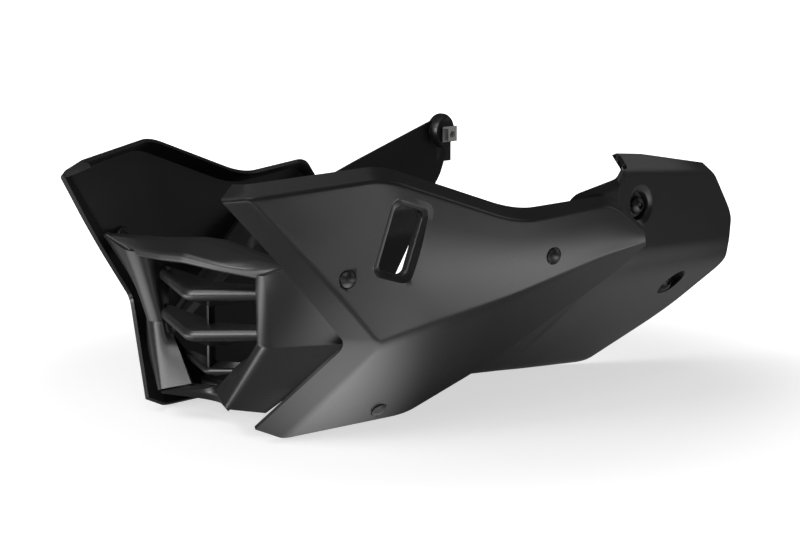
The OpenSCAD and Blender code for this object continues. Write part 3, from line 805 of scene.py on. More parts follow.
@dataclass(frozen=True)
class RivetSeat:
    """The seat of a rivet's head, the bore below it and what carries it behind the panel."""

    bore_r: float = 3.35
    head_r: float = 5.7
    depth: float = 1.2
    cut_end: float = 9.0
    clear: float = 3.35
    lug_r: float = 8.2
    lug_back: float = 6.3
    lug_middle: float = 4.8
    boss_back: float = 17.3
    bore_end: float = 14.0

    def drill(self) -> Profile:
        """Returns the lower part of every cut, from its axis to the seat's floor."""
        return [(0, -self.cut_end), (self.bore_r, -self.cut_end), (self.bore_r, -self.depth)]

    def mouth(self) -> Profile:
        """Returns the profile that is cut in a panel, with an eased rim."""
        rim = [(self.head_r + 0.05, -0.8), (self.head_r + 0.2, -0.4), (6.25, 0.0), (7.0, 0.4),
               (9.4, 1.6)]
        return [*self.drill(), (self.head_r, -self.depth), *rim, (0, 5)]

    def bore(self) -> Profile:
        """Returns the profile of the bore that is cut in a lug."""
        return [*self.drill(), (self.bore_r, 2), (0, 2)]

    def disc(self) -> Profile:
        """Returns the profile of the disc behind a panel."""
        return [(0, -self.lug_back), (self.lug_r - 0.8, -self.lug_back), (8.0, -5.6),
                (self.lug_r, -3.9), (self.lug_r - 0.6, -self.clear), (0, -self.clear)]

    def boss(self) -> Profile:
        """Returns the profile of a deep boss with a blind bore."""
        return [(0, -self.boss_back), (6.7, -self.boss_back), (self.lug_r, -3.9),
                (7.7, -self.clear), (self.bore_r, -self.clear), (self.bore_r, -self.bore_end),
                (0, -self.bore_end)]


@dataclass
class SidePanels:
    """The two side panels, drawn as the left one."""

    wall: float = 3.0
    tip_reach: float = 227.5
    tip_height: float = 169.0
    peak_height: float = 178.0
    dip_height: float = 141.0
    shoulder_height: float = 147.0
    tail_reach: float = 84.0
    tail_height: float = 124.0
    tail_half: float = 175.0
    notch_height: float = 70.0
    flange_width: float = 14.0
    flange_lean: Point = (0.45, 0.75, 0.55)
    flange_shares: Sequence[float] = (1, 1, 1, 1, 0.8, 0.5)
    crown: float = 3.0
    rim: float = 0.7
    slot_width: float = 31.0
    slot_height: float = 54.0
    slot_slant: float = 17.0
    slot_surround: float = 5.0
    slot_edge: float = 2.2
    slot_depth: float = 9.0
    slot_corner: float = 7.0
    front_spot: Soft = (1.23, 2.12)
    rear_spot: Soft = (3.4, 2.24)
    lower_spot: Soft = (1.73, 3.87)
    slot_spot: Soft = (1.97, 1.8)
    seat: RivetSeat = RivetSeat()
    skin: Skin = field(init=False)
    crease: list[Point] = field(init=False)
    hem: list[Point] = field(init=False)

    def __post_init__(self) -> None:
        """Lays out the control rows from the crest down to the hem."""
        tip, tail, half = self.tip_reach, self.tail_reach, self.tail_half
        low = self.notch_height
        crest = [(-tip, -87, self.tip_height), (12.6 - tip, -100, self.tip_height + 1),
                 (-130, -133, self.peak_height), (-25, -154, self.dip_height),
                 (54, -167, self.shoulder_height), (tail - 3, -half, self.tail_height + 2)]
        lean = Vector(self.flange_lean).normalized() * self.flange_width
        flange = [shift(p, *(lean * share)) for p, share in zip(crest, self.flange_shares)]
        flange[0] = shift(flange[0], 12, 0, 0)
        self.crease = [(-149, -117, low), (-129, -129, low - 2), (-91, -135, low + 5),
                       (-25, -150, low + 21), (46, -165, low + 41),
                       (tail - 2, -half, self.tail_height - 5)]
        self.hem = [(-179, -60, 9), (-159, -65, 0), (-52, -71, 0), (-6, -100, 30), (74, -152, 94),
                    (tail + 1, -half + 2, self.tail_height - 8)]
        belly = [shift(between(a, b, 0.5), 0, -self.crown * (Vector(a) - Vector(b)).length / 100, 0)
                 for a, b in zip(crest, self.crease)]
        self.skin = Skin([flange, crest, belly, self.crease, self.hem],
                         [(0.14, 0.07), (0.12, 0.14), (0.2, 0.2), (0.15, 0.3)],
                         [(0.16, 0.05), (0.5, 0.5), (0.1, 0.1)])

    def spots(self) -> tuple[Soft, Soft, Soft]:
        """Returns the places of the three rivets on the skin."""
        return (self.front_spot, self.rear_spot, self.lower_spot)

    def lug_centre(self, spot: Soft) -> Vector:
        """Returns the middle of the lug behind a rivet, in millimetres."""
        return self.skin.point(*spot) - self.skin.out(*spot) * self.seat.lug_middle

    def lug(self, spot: Soft, root: Vector, half: tuple[float, float],
            up: str) -> bpy.types.Object:
        """Makes the disc and arm that carry a panel at a rivet.

        Args:
            spot: The rivet's place on the skin.
            root: Where the arm starts, in millimetres.
            half: Half of the arm's thickness along its own X and Y axes.
            up: The arm's axis that stays upright.

        Returns:
            The lug, with the rivet's bore.
        """
        place, centre = self.skin.seat(*spot), self.lug_centre(spot)
        lug = Stock.lathe("lug", self.seat.disc(), place)
        x, y = half
        arm = Stock.block("arm", (-x, -y, 0), (x, y, (centre - root).length), 0.6,
                          aimed(root, centre, up))
        Stock.combine(lug, arm, "UNION")
        return Stock.combine(lug, Stock.lathe("bore", self.seat.bore(), place), "DIFFERENCE")

    def shell(self, name: str) -> bpy.types.Object:
        """Moulds a panel of the left-hand shape with its rivet seats.

        Args:
            name: The panel's name.

        Returns:
            The panel.
        """
        panel = Stock.sheet(name, self.skin, self.wall, self.rim, 10, 12)
        for spot in self.spots():
            seat = Stock.lathe("seat", self.seat.mouth(), self.skin.seat(*spot))
            Stock.combine(panel, seat, "DIFFERENCE")
        return panel

    def slotted(self, panel: bpy.types.Object) -> bpy.types.Object:
        """Cuts the window slot with its sunk surround, and adds the collar behind it.

        Args:
            panel: The panel.

        Returns:
            The same panel.
        """
        place = self.skin.seat(*self.slot_spot, -self.slot_slant)
        tall, wide, edge = self.slot_height, self.slot_width, self.slot_edge

        def level(height: float, growth: float) -> Point:
            """Returns one level of a funnel that is this much larger than the slot."""
            return (height, tall + growth, wide + growth)

        levels = [level(-self.slot_depth, -1), level(-1.5, 4)]
        collar = Stock.funnel("collar", levels, self.slot_corner, place)
        Stock.combine(panel, collar, "UNION")
        sunk = -2 * self.slot_surround
        mouth = Stock.funnel("mouth", [
            level(-self.slot_depth - 3, sunk), level(-self.wall - 1.0, sunk),
            level(-self.wall + 0.4, sunk + 1.2), level(-1.6, -3.4), level(-0.8, -1.6),
            level(-0.1, 0.4), level(1.0, edge * 2), level(9.0, edge * 6)],
            self.slot_corner - 2.0, place)
        return Stock.combine(panel, mouth, "DIFFERENCE")

    def build(self, fitter: Fitter) -> None:
        """Makes both panels. Only the left one has the slot.

        Args:
            fitter: Puts the pieces on the frame.
        """
        left = self.shell("left_panel")
        right = Stock.finish(Stock.mirrored("right_panel", left))
        Stock.finish(self.slotted(left))
        fitter.fit(left, Slot.PANEL, "left_side_panel")
        fitter.fit(right, Slot.PANEL, "right_side_panel")


@dataclass
class RivetSet:
    """Push rivets: a domed plunger in a split sleeve, set in a shallow seat."""

    head_d: float = 11.0
    head_h: float = 3.0
    head_gap: float = 0.15
    plunger_d: float = 4.0
    sleeve_wall: float = 1.2
    flange_h: float = 0.95
    grip: float = 6.3
    fit: float = 0.3
    barb: float = 0.8
    barb_h: float = 3.0
    slit_half: float = 0.4
    slit_end: float = 12.0
    steps: int = 48

    def head(self) -> Profile:
        """Draws a plunger with a smooth dome.

        Returns:
            The plunger's profile, from the top of its head down.
        """
        radius, rise, base = self.head_d / 2, self.head_h, self.head_gap
        ball = (rise * rise + radius * radius) / (2 * rise)
        stem = (self.plunger_d - self.fit) / 2
        dome = []
        for step in range(11):
            angle = math.asin((radius - 0.35) / ball) * step / 10
            dome.append((ball * math.sin(angle), base + rise - ball + ball * math.cos(angle)))
        edge = [(radius - 0.1, base + 0.38), (radius, base + 0.2), (radius - 0.1, base)]
        tail = -self.grip - self.barb_h
        return dome + edge + [(stem, base), (stem, tail + 0.5), (stem - 0.5, tail), (0, tail)]

    def sleeve(self) -> Profile:
        """Draws a sleeve with its flange and barbs.

        Returns:
            The sleeve's profile, from its flange down.
        """
        inner, outer = self.plunger_d / 2, self.plunger_d / 2 + self.sleeve_wall
        flange, end = self.head_d / 2 - 0.5, -self.grip - self.barb_h
        return [(inner, 0), (flange - 0.1, 0), (flange, -0.15), (flange, -self.flange_h),
                (outer, -self.flange_h - 0.1), (outer, -self.grip - self.fit),
                (outer + self.barb, -self.grip - self.fit - 0.4), (outer - 0.4, end), (inner, end)]

    def split(self, sleeve: bpy.types.Object, place: Matrix) -> bpy.types.Object:
        """Cuts the cross slits in the end of a sleeve.

        Args:
            sleeve: The sleeve.
            place: The seat's frame.

        Returns:
            The same sleeve.
        """
        reach, half = 6.0, self.slit_half
        for x, y in ((reach, half), (half, reach)):
            slit = Stock.block("slit", (-x, -y, -self.slit_end), (x, y, -self.grip), 0.01, place)
            Stock.combine(sleeve, slit, "DIFFERENCE")
        return sleeve

    def pair(self, label: str, place: Matrix) -> tuple[bpy.types.Object, bpy.types.Object]:
        """Makes one plunger and one sleeve.

        Args:
            label: Start of the two names.
            place: The seat's frame.

        Returns:
            The plunger and the sleeve.
        """
        plunger = Stock.lathe(label + "_dome", self.head(), place, self.steps)
        socket = Stock.lathe(label + "_socket", self.sleeve(), place, self.steps)
        return plunger, self.split(socket, place)

    def build(self, fitter: Fitter, panels: SidePanels) -> None:
        """Makes the six panel rivets.

        Args:
            fitter: Puts the pieces on the frame.
            panels: The panels that they hold.
        """
        for label, spot in zip(("front", "rear", "lower"), panels.spots()):
            pieces = self.pair("left_" + label, panels.skin.seat(*spot))
            for piece, kind in zip(pieces, ("plunger", "sleeve")):
                Stock.finish(piece)
                other = Stock.finish(Stock.mirrored(piece.name.replace("left", "right"), piece))
                fitter.fit(piece, Slot.NYLON, f"left_{label}_{kind}")
                fitter.fit(other, Slot.NYLON, f"right_{label}_{kind}")


@dataclass
class FrontGrille:
    """The front grille: cheeks, deck, three slats, sill, lip and the tabs behind the panels."""

    wall: float = 3.0
    rim: float = 0.7
    intake_x: float = -180.0
    waist_x: float = -171.0
    depth: float = 22.0
    half: float = 72.0
    top: float = 112.0
    waist: float = 64.0
    sill: float = 20.0
    sill_half: float = 36.0
    bow: float = 11.0
    deck_lift: float = 2.0
    post_laps: Sequence[Point] = ((3, 10, 0), (3, 10, 0), (2, 6, 1), (1, 3, 1))
    slat_nose: float = 9.0
    slat_rise: float = 6.0
    slat_drop: float = 10.0
    leaf: float = 2.2
    upper_slat: float = 92.5
    middle_slat: float = 64.5
    lower_slat: float = 37.5
    tab_root: Point = (11, 6, -12)
    tab_half: tuple[float, float] = (1.4, 6.5)
    bead_r: float = 2.6
    post: list[Point] = field(init=False)
    jamb: list[Point] = field(init=False)
    deck_corner: Point = field(init=False)

    def __post_init__(self) -> None:
        """Lays out the left post, the jamb behind it and the deck's left corner."""
        x, waist_x, half, low = self.intake_x, self.waist_x, self.half, self.sill_half
        brow = self.top + self.deck_lift
        bent, foot = (waist_x, -half + 10, self.waist), (x - 2, -low, self.sill)
        self.post = [(x, -half, brow), bent, between(bent, foot, 0.5), foot]
        self.jamb = [(x + self.depth, -half + 17, brow - 5),
                     (waist_x + 10, -half + 10, self.waist - 1),
                     (waist_x + 3, -low + 4, self.waist - 19), (x + 8, -low + 22, self.sill + 6)]
        self.deck_corner = (x - 3, -99, self.top + 12)

    def cheek(self, panels: SidePanels) -> Skin:
        """Lays out the left frame wall, post and cheek.

        Args:
            panels: The panels, whose front edge the cheek follows.

        Returns:
            The skin from the jamb to the cheek's outer edge.
        """
        crease, hem = panels.crease, panels.hem
        edge = [shift(self.deck_corner, 2, 0, 0), shift(crease[0], 12, 8, 0),
                shift(between(crease[0], hem[0], 0.5), 8, 6, 0), shift(hem[0], 12, 2, 10)]
        lap = [shift(p, *move) for p, move in zip(self.post, self.post_laps)]
        return Skin([self.jamb, lap, self.post, edge],
                    [(0.04, 0.04), (0.25, 0.25)], [(0.3, 0.5), (0.5, 0.12)])

    def deck(self) -> Skin:
        """Lays out the top rail and the deck behind it.

        Returns:
            The skin from the rail's lower edge to the deck's rear edge.
        """
        x, half, top, bow = self.intake_x, self.half, self.top, self.bow
        corner = shift(self.post[0], 0, -2, 0)
        inner = shift(self.jamb[0], 0, -4, 0)

        def row(end: Point, side: Point, middle: Point) -> list[Point]:
            """Returns a row across the deck from its left end to its middle and back out."""
            return [end, side, middle, flip(side), flip(end)]

        rear = row(self.deck_corner, (x + 7, -45, top + 14), (x + 8, 0, top + 19))
        return Skin([
            row(inner, (x + self.depth - 1, -30, top - 2), (x + self.depth - 3, 0, top - 1)),
            row(shift(corner, 1, 1, -4), (x - 0.6 * bow, -half * 0.42, top),
                (x + 1 - bow, 0, top + 2)),
            row(corner, (x - 0.7 * bow, -half * 0.42, top + 6), (x - bow, 0, top + 9)),
            rear, [shift(p, 18, 0, -4) for p in rear]],
            [(0.15, 0.15), (0.12, 0.12), (0.15, 0.15)], [(0.1, 0.35), (0.3, 0.12), (0.3, 0.3)])

    def sill_skin(self) -> Skin:
        """Lays out the sill, whose middle stands back.

        Returns:
            The skin from the sill's rear edge to its underside.
        """
        end = shift(self.post[3], 0.5, -2, 0.5)
        rear_end = shift(self.jamb[3], -1, -3, 1)
        middle = (self.intake_x + self.depth - 1, 0, self.sill + 0.5)
        rear_middle = (self.intake_x + self.depth + 5, 0, self.sill + 4)
        under_end, under_middle = shift(end, 1.5, 1, -1.2), shift(middle, 1.5, 0, -5)
        rows = [[left, centre, flip(left)] for left, centre in (
            (rear_end, rear_middle), (end, middle), (under_end, under_middle))]
        return Skin(rows, [(0.3, 0.3)], [(0.15, 0.3)])

    def section(self, depth: float, nose: float) -> Profile:
        """Draws the outline of a slat.

        Args:
            depth: How deep the slat is there.
            nose: Height of its rounded nose.

        Returns:
            The distance to the rear and the height of each corner.
        """
        arc = [math.radians(angle) for angle in range(80, 281, 20)]
        front = [(nose / 2 * (1 + math.cos(a)), nose / 2 * math.sin(a)) for a in arc]
        tail = max(nose / 2 + 1, depth * 0.7)
        drop = -self.slat_drop * depth / 26
        rise = self.slat_rise
        return [(depth - 0.5, rise), *front, (tail, drop), (tail + 0.9, drop + 0.6),
                (tail + 0.6, drop + 2.2), (nose * 0.75, -nose * 0.1), (depth, rise - self.leaf),
                (depth + 0.4, rise - 0.8)]

    def slat(self, apex: Point, end: Point, nose: float) -> bpy.types.Object:
        """Makes one bowed slat that runs into the frame at both ends.

        Args:
            apex: Middle of its nose.
            end: Left end of its nose.
            nose: Height of the rounded nose.

        Returns:
            The slat.
        """
        rear = self.intake_x + self.depth - 4
        run, soft = [Vector(end), Vector(apex), Vector(flip(end))], [(0.12, 0.12)]
        stations = [on_run(run, soft, at) for at in stops(soft, 8, 4)]
        shapes = [self.section(rear - place.x, nose) for place in stations]
        mesh = bmesh.new()
        corners = [mesh.verts.new((x * MM, 0, z * MM)) for x, z in shapes[0]]
        ring = [mesh.faces.new(corners)]
        for number, (place, shape) in enumerate(zip(stations, shapes)):
            if number:
                ring = Stock.raised(mesh, ring)
                corners = self.match([item.vert for item in ring[0].loops], corners)
            for corner, (x, z) in zip(corners, shape):
                corner.co = (place + Vector((x, 0, z))) * MM
        bmesh.ops.recalc_face_normals(mesh, faces=mesh.faces[:])
        return Stock.piece("slat", mesh)

    @staticmethod
    def match(loop: Sequence[bmesh.types.BMVert],
              before: Sequence[bmesh.types.BMVert]) -> list[bmesh.types.BMVert]:
        """Finds for each corner of the last section the corner that was drawn out of it.

        Args:
            loop: The corners of the new section.
            before: The corners of the last section, in order.

        Returns:
            The new corners in the same order.
        """
        return [min(loop, key=lambda new: (new.co - old.co).length) for old in before]

    def slats(self) -> list[bpy.types.Object]:
        """Makes the three slats and the rib that joins their middles.

        Returns:
            The four pieces.
        """
        x, nose = self.intake_x, self.slat_nose
        rows = ((self.upper_slat, -10, (14, 11 - self.half, 5), nose),
                (self.middle_slat, -9, (13, 12 - self.half, 6), nose),
                (self.lower_slat, 7, (18, 1 - self.sill_half, 4), nose / 2))
        made = [self.slat((x + ahead, 0, z), shift(end, x, 0, z), height)
                for z, ahead, end, height in rows]
        rib = Stock.block("rib", (x + self.depth - 12, -1.25, self.lower_slat + 2),
                          (x + self.depth - 6, 1.25, self.upper_slat + 2), 0.5)
        return [*made, rib]

    def bead(self) -> bpy.types.Object:
        """Makes the round bead where the deck's left edge meets the cheek.

        Returns:
            The bead.
        """
        start = Vector(shift(self.post[0], 1.5, 1, -0.5))
        end = Vector(shift(self.deck_corner, 2.5, 1, -2))
        length, radius = (end - start).length, self.bead_r
        profile = [(0, -1), (radius * 0.6, -0.7), (radius, 0.8), (radius, length - 0.8),
                   (radius * 0.6, length + 0.7), (0, length + 1)]
        return Stock.lathe("bead", profile, aimed(start, end), 32)

    def lip(self, tray: "RearTray") -> bpy.types.Object:
        """Makes the lip that lies on the tray's floor.

        Args:
            tray: The tray.

        Returns:
            The lip.
        """
        half, front = self.sill_half - 8, self.intake_x + self.depth + 3
        place = tray.floor_frame()
        plate = Stock.block("lip", (front, -half, 0.3), (tray.front + 26, half, 3.3), 0.6, place)
        step = Stock.block("step", (front, -half, -3), (tray.front - 1, half, 1.3), 0.4, place)
        return Stock.combine(plate, step, "UNION")

    def build(self, fitter: Fitter, panels: SidePanels, tray: "RearTray") -> None:
        """Makes the grille as one moulding.

        Args:
            fitter: Puts the pieces on the frame.
            panels: The panels that it carries.
            tray: The tray that it is joined to.
        """
        cheek = Stock.sheet("cheek", self.cheek(panels), self.wall, self.rim, 10, 8)
        root = Vector(self.deck_corner) + Vector(self.tab_root)
        tab = panels.lug(panels.front_spot, root, self.tab_half, "Y")
        parts = []
        for part in (cheek, tab, self.bead()):
            parts += [part, Stock.mirrored(part.name + "_right", part)]
        parts += [Stock.sheet("deck", self.deck(), self.wall, self.rim, 10, 8),
                  Stock.sheet("sill", self.sill_skin(), self.wall, self.rim, 8, 8),
                  *self.slats(), self.lip(tray)]
        fitter.fit(Stock.finish(Stock.gather("grille", parts)), Slot.GRILLE, "front_grille")


@dataclass
class RearTray:
    """The rear tray: floor, slopes, tall left wall with a hook, right arm with an eyelet."""

    wall: float = 3.0
    front: float = -138.0
    floor_rear: float = 160.0
    floor_half: float = 50.0
    reach: float = 227.0
    half: float = 156.0
    toe: float = 15.0
    toe_start: float = 82.0
    taper: float = 0.01
    fold: float = 104.0
    wing: float = 180.0
    flange: float = 13.0
    sill: float = 20.0
    sill_half: float = 36.0
    upper_bolt: tuple[float, float] = (104.0, 140.0)
    lower_bolt: tuple[float, float] = (181.0, 71.0)
    pocket_depth: float = 9.0
    heel_drop: float = 1.5
    pocket_r: float = 10.0
    dish_r: float = 15.0
    neck_r: float = 6.9
    tool_turn: float = 0.02
    eyelet: Point = (203.0, 150.0, 165.0)
    eyelet_r: float = 15.0
    eyelet_rim: float = 0.7
    eyelet_wall: float = 4.0
    cup_top: float = 12.0
    clip_hole_r: float = 4.5
    ear_half: tuple[float, float] = (8, 1.4)

    def slope(self) -> float:
        """Returns the angle of the floor, in radians."""
        return math.atan(self.sill / (self.floor_rear - self.front))

    def floor_z(self, x: float) -> float:
        """Returns the height of the floor's underside at X."""
        return (self.floor_rear - x) * math.tan(self.slope())

    def floor_frame(self) -> Matrix:
        """Returns the frame whose XY plane is the floor's upper face, in metres."""
        pivot = Vector((self.floor_rear, 0, self.wall)) * MM
        return (Matrix.Translation(pivot) @ Matrix.Rotation(self.slope(), 4, "Y")
                @ Matrix.Translation(Vector((-self.floor_rear * MM, 0, 0))))

    def wall_half(self, x: float) -> float:
        """Finds the half width over the upright walls.

        Args:
            x: Place along the tray.

        Returns:
            The half width there, in millimetres.
        """
        if x > self.toe_start:
            return self.half - self.toe * (x - self.toe_start) / (self.reach - self.toe_start)
        return self.half - (self.toe_start - x) * self.taper

    @staticmethod
    def with_neck(row: list[Point]) -> list[Point]:
        """Adds a column beside the hook, half way between its neighbours."""
        return row[:4] + [between(row[3], row[4], 0.5)] + row[4:]

    def left_rows(self) -> list[list[Point]]:
        """Lays out the left wall from its top edge to the foot of the slope.

        Returns:
            The rows, from the hook's flange down.
        """
        f, half, wing, low, fold = self.front, self.wall_half, self.wing, self.flange, self.fold
        reach, neck = self.reach, self.with_neck
        return [
            [(f, -84, 60), (17, -146, 118), (33, -147, 153), (76, -152, 162),
             (81, 2 - half(81), 171), (75, 5 - half(75), wing), (107, 5 - half(107), wing - 3),
             (185, 1 - half(185), wing - 16)],
            [(f, -86, 56), (17, -148, 112), (33, -150, 148), (76, -155, 157),
             (80, -half(80), wing - low - 1), (82, -half(80), wing - low),
             (107, -half(107), wing - low - 2), (201, -half(201), wing - low - 13)],
            neck([(f, -86, 50), (17, -149, 105), (33, -152, 128), (70, -155, 132),
                  (76, -half(76), 134), (107, -half(107), 134), (reach, -half(reach), 121)]),
            neck([(f, -82, 45), (17, -148, fold - 6), (33, -152, fold), (70, -154, fold + 1),
                  (76, -half(76), fold + 2), (107, 1 - half(107), fold + 2),
                  (reach - 2, -half(reach), fold - 2)]),
            neck([(f, -72, 38), (17, -132, fold - 20), (33, -136, fold - 19),
                  (70, -138, fold - 17), (76, -139, fold - 16), (107, -138, fold - 17),
                  (reach + 3, 7 - half(reach), fold - 20)]),
            neck([(f, -55, 29), (17, -87, 46), (33, -89, 46), (70, -91, 46), (76, -92, 46),
                  (107, -92, 46), (reach - 17, -93, 43)])]

    def floor_rows(self) -> list[list[Point]]:
        """Lays out the two sides of the floor.

        Returns:
            The left row and the right row.
        """
        f, half, start = self.front, self.floor_half, self.sill_half + 2
        offsets = ((17, 8), (33, 7), (70, 5), (76, 5), (107, 2))
        left = [(f, -self.sill_half - 2, self.floor_z(f)),
                *((x, inset - half, self.floor_z(x)) for x, inset in offsets),
                (self.floor_rear, -half, 0)]
        places = (f, -95, -85, -60, -50, -30, 12)
        right = [(x, start + (half - start) * (x - f) / (places[-1] - f), self.floor_z(x))
                 for x in places]
        return [self.with_neck(left), self.with_neck(right)]

    def arm_rows(self) -> list[list[Point]]:
        """Lays out the right slope and the arm that rises from it.

        Returns:
            The rows, from the foot of the slope up to the arm's top edge.
        """
        f, fold = self.front, self.fold
        return [self.with_neck(row) for row in (
            [(f, 72, 38), (-40, 108, 62), (-20, 115, 66), (20, 120, 72), (30, 122, 73),
             (70, 125, 76), (147, 127, 79)],
            [(f, 82, 45), (-20, 140, 84), (0, 143, 92), (60, 146, fold - 4), (70, 147, fold - 3),
             (110, 148, fold - 1), (178, 148, fold)],
            [(f, 86, 50), (-13, 146, 100), (20, 147, 105), (84, 150, 120), (94, 150, 121),
             (140, 150, 123), (200, 149, 126)],
            [(f, 86, 56), (-14, 146, 110), (24, 148, 113), (84, 151, 131), (104, 151, 138),
             (155, 151, 150), (209, 149, 148)],
            [(f, 84, 60), (-16, 145, 121), (26, 147, 121), (88, 151, 141), (109, 151, 148),
             (157, 151, 163), (196, 149, 176)])]

    def skin(self) -> Skin:
        """Lays out the tray from the top of its left wall, under the floor, to its right arm.

        Returns:
            The tray's outer face.
        """
        return Skin([*self.left_rows(), *self.floor_rows(), *self.arm_rows()],
                    [(0.1, 0.3), (0.3, 0.2), (0.1, 0.2), (0.2, 0.2), (0.2, 0.1), (0.2, 0.1)],
                    [(0.3, 0.1), (0.3, 0.3), (0.15, 0.3), (0.3, 0.2), (0.3, 0.3), (0.12, 0.12),
                     (0.12, 0.06), (0.2, 0.2), (0.15, 0.2), (0.3, 0.3), (0.3, 0.3)])

    def slope_plane(self) -> tuple[Vector, Vector]:
        """Finds the plane of the left slope behind the side panel.

        Returns:
            A point of it and its normal.
        """
        rows = [[Vector(p) for p in row] for row in self.skin().rows]
        foot, upper, rear = rows[6][7], rows[4][7], rows[4][6]
        return foot, (upper - foot).cross(rear - foot)

    def bolt_frames(self) -> tuple[Matrix, Matrix]:
        """Finds the places of the two bolts on the left side.

        Returns:
            The upper and the lower bolt's frames, whose Z axes point out to the left.
        """
        foot, normal = self.slope_plane()
        x, z = self.lower_bolt
        y = foot.y - (normal.x * (x - foot.x) + normal.z * (z - foot.z)) / normal.y
        across, height = self.upper_bolt
        places = (Vector((across, -self.wall_half(across), height)), Vector((x, y, z)))
        turn = Matrix.Rotation(math.pi / 2, 4, "X")
        upper, lower = (Matrix.Translation(place * MM) @ turn for place in places)
        return upper, lower

    def depths(self) -> tuple[float, float]:
        """Returns the depths of the upper and the lower pocket."""
        return self.pocket_depth, self.pocket_depth + self.heel_drop

    def pocket(self, piece: bpy.types.Object, place: Matrix, depth: float, dish: Profile) -> None:
        """Cuts a pocket with a dish round its mouth and a hole in its floor.

        The tool is turned a little about its axis, so that its edges stay off the wall's own.

        Args:
            piece: The piece that it is cut in.
            place: The bolt's frame.
            depth: Depth of the pocket's floor.
            dish: Radius and height of each corner of the dish, from the pocket outwards.
        """
        radius = self.pocket_r
        profile = [(0, -depth - 6), (self.neck_r, -depth - 6), (self.neck_r, -depth),
                   (radius - 0.8, -depth), (radius - 0.2, -depth + 0.3), (radius, -depth + 1),
                   *dish, (0, dish[-1][1] + 2)]
        turned = place @ Matrix.Rotation(self.tool_turn, 4, "Z")
        Stock.combine(piece, Stock.lathe("pocket", profile, turned, 90), "DIFFERENCE")

    def eyelet_plate(self) -> bpy.types.Object:
        """Makes the eyelet at the end of the right arm, with the half cup round the clip nut.

        Returns:
            The eyelet.
        """
        x, y, z = self.eyelet
        turn = Matrix.Rotation(math.pi / 2, 4, "X")
        face = Matrix.Translation(Vector(self.eyelet) * MM) @ turn
        radius, rim, wall, top = self.eyelet_r, self.eyelet_rim, self.eyelet_wall, self.cup_top
        plate = Stock.lathe("eyelet", [
            (0, 0), (radius - rim, 0), (radius - 0.2, 0.2), (radius, rim), (radius, wall - rim),
            (radius - 0.2, wall - 0.2), (radius - rim, wall), (0, wall)], face, 96)
        foot = Stock.block("foot", (x - 6, y - wall + 0.2, 139), (x + 11, y - 0.2, z), 0.5)
        Stock.combine(plate, foot, "UNION")
        cup = Stock.lathe("cup", [
            (radius - 3, 2), (radius - 0.5, 2), (radius - 0.5, top - 0.8), (radius - 1, top),
            (radius - 2.5, top), (radius - 3, top - 0.8)], face, 96)
        half = Stock.block("half", (-2, -20, 0), (30, 20, 20), 0.01, face)
        Stock.combine(cup, half, "DIFFERENCE")
        Stock.combine(plate, cup, "UNION")
        clip = Matrix.Translation(Vector((x + 6, y + 5, z - 3)) * MM) @ turn
        reach = self.clip_hole_r
        bore = Stock.lathe("bore", [(0, 0), (reach, 0), (reach, top), (0, top)], clip)
        return Stock.combine(plate, bore, "DIFFERENCE")

    def carriers(self, panels: SidePanels) -> list[bpy.types.Object]:
        """Makes the left ear behind the lower rivet and the left boss behind the rear rivet.

        Args:
            panels: The panels that they carry.

        Returns:
            The ear and the boss.
        """
        centre = panels.lug_centre(panels.lower_spot)
        root = Vector((centre.x, -self.sill_half - 7, self.floor_z(-84) + 3))
        ear = panels.lug(panels.lower_spot, root, self.ear_half, "X")
        place = panels.skin.seat(*panels.rear_spot)
        return [ear, Stock.lathe("boss", panels.seat.boss(), place)]

    def bosses(self, upper: Matrix, lower: Matrix) -> tuple[bpy.types.Object, bpy.types.Object]:
        """Makes the round bosses round the two pockets, inside the wall.

        Args:
            upper: The upper bolt's frame.
            lower: The lower bolt's frame.

        Returns:
            The upper boss and the lower one, which is trimmed to the slope.
        """
        ring, back = self.dish_r + 1.5, self.depths()[1] + 3
        boss = Stock.lathe("boss", [(0, -12), (ring - 1, -12), (ring, -11), (ring, -1.5),
                                    (0, -1.5)], upper, 96)
        heel = Stock.lathe("heel", [(0, -back), (ring - 1, -back), (ring, -back + 1), (ring, 12),
                                    (0, 12)], lower, 96)
        normal = self.slope_plane()[1]
        lean = Matrix.Rotation(math.atan(normal.z / normal.y), 4, "X")
        keep = Stock.block("keep", (-30, -60, -90), (30, 60, -1.5), 0.01, lower @ lean)
        return boss, Stock.combine(heel, keep, "INTERSECT")

    def build(self, fitter: Fitter, panels: SidePanels) -> None:
        """Makes the tray as one moulding.

        Args:
            fitter: Puts the pieces on the frame.
            panels: The panels that it carries.
        """
        tray = Stock.sheet("tray", self.skin(), self.wall, 0, 6, 8)
        upper, lower = self.bolt_frames()
        boss, heel = self.bosses(upper, lower)
        Stock.combine(tray, boss, "UNION")
        shallow, deep = self.depths()
        pocket, dish = self.pocket_r, self.dish_r
        self.pocket(tray, upper, shallow, [
            (pocket, -4.2), (pocket + 0.2, -3.7), (pocket + 0.8, -3.2), (pocket + 2.2, -2.4),
            (dish - 1.6, -1.1), (dish - 0.5, -0.4), (dish + 0.8, 0.2), (dish + 3, 1.2)])
        for piece in (tray, heel):
            self.pocket(piece, lower, deep, [(pocket, 30)])
        parts = [tray, heel, self.eyelet_plate()]
        for part in self.carriers(panels):
            parts += [part, Stock.mirrored(part.name + "_right", part)]
        fitter.fit(Stock.finish(Stock.gather("tray_moulding", parts)), Slot.TRAY, "rear_tray")


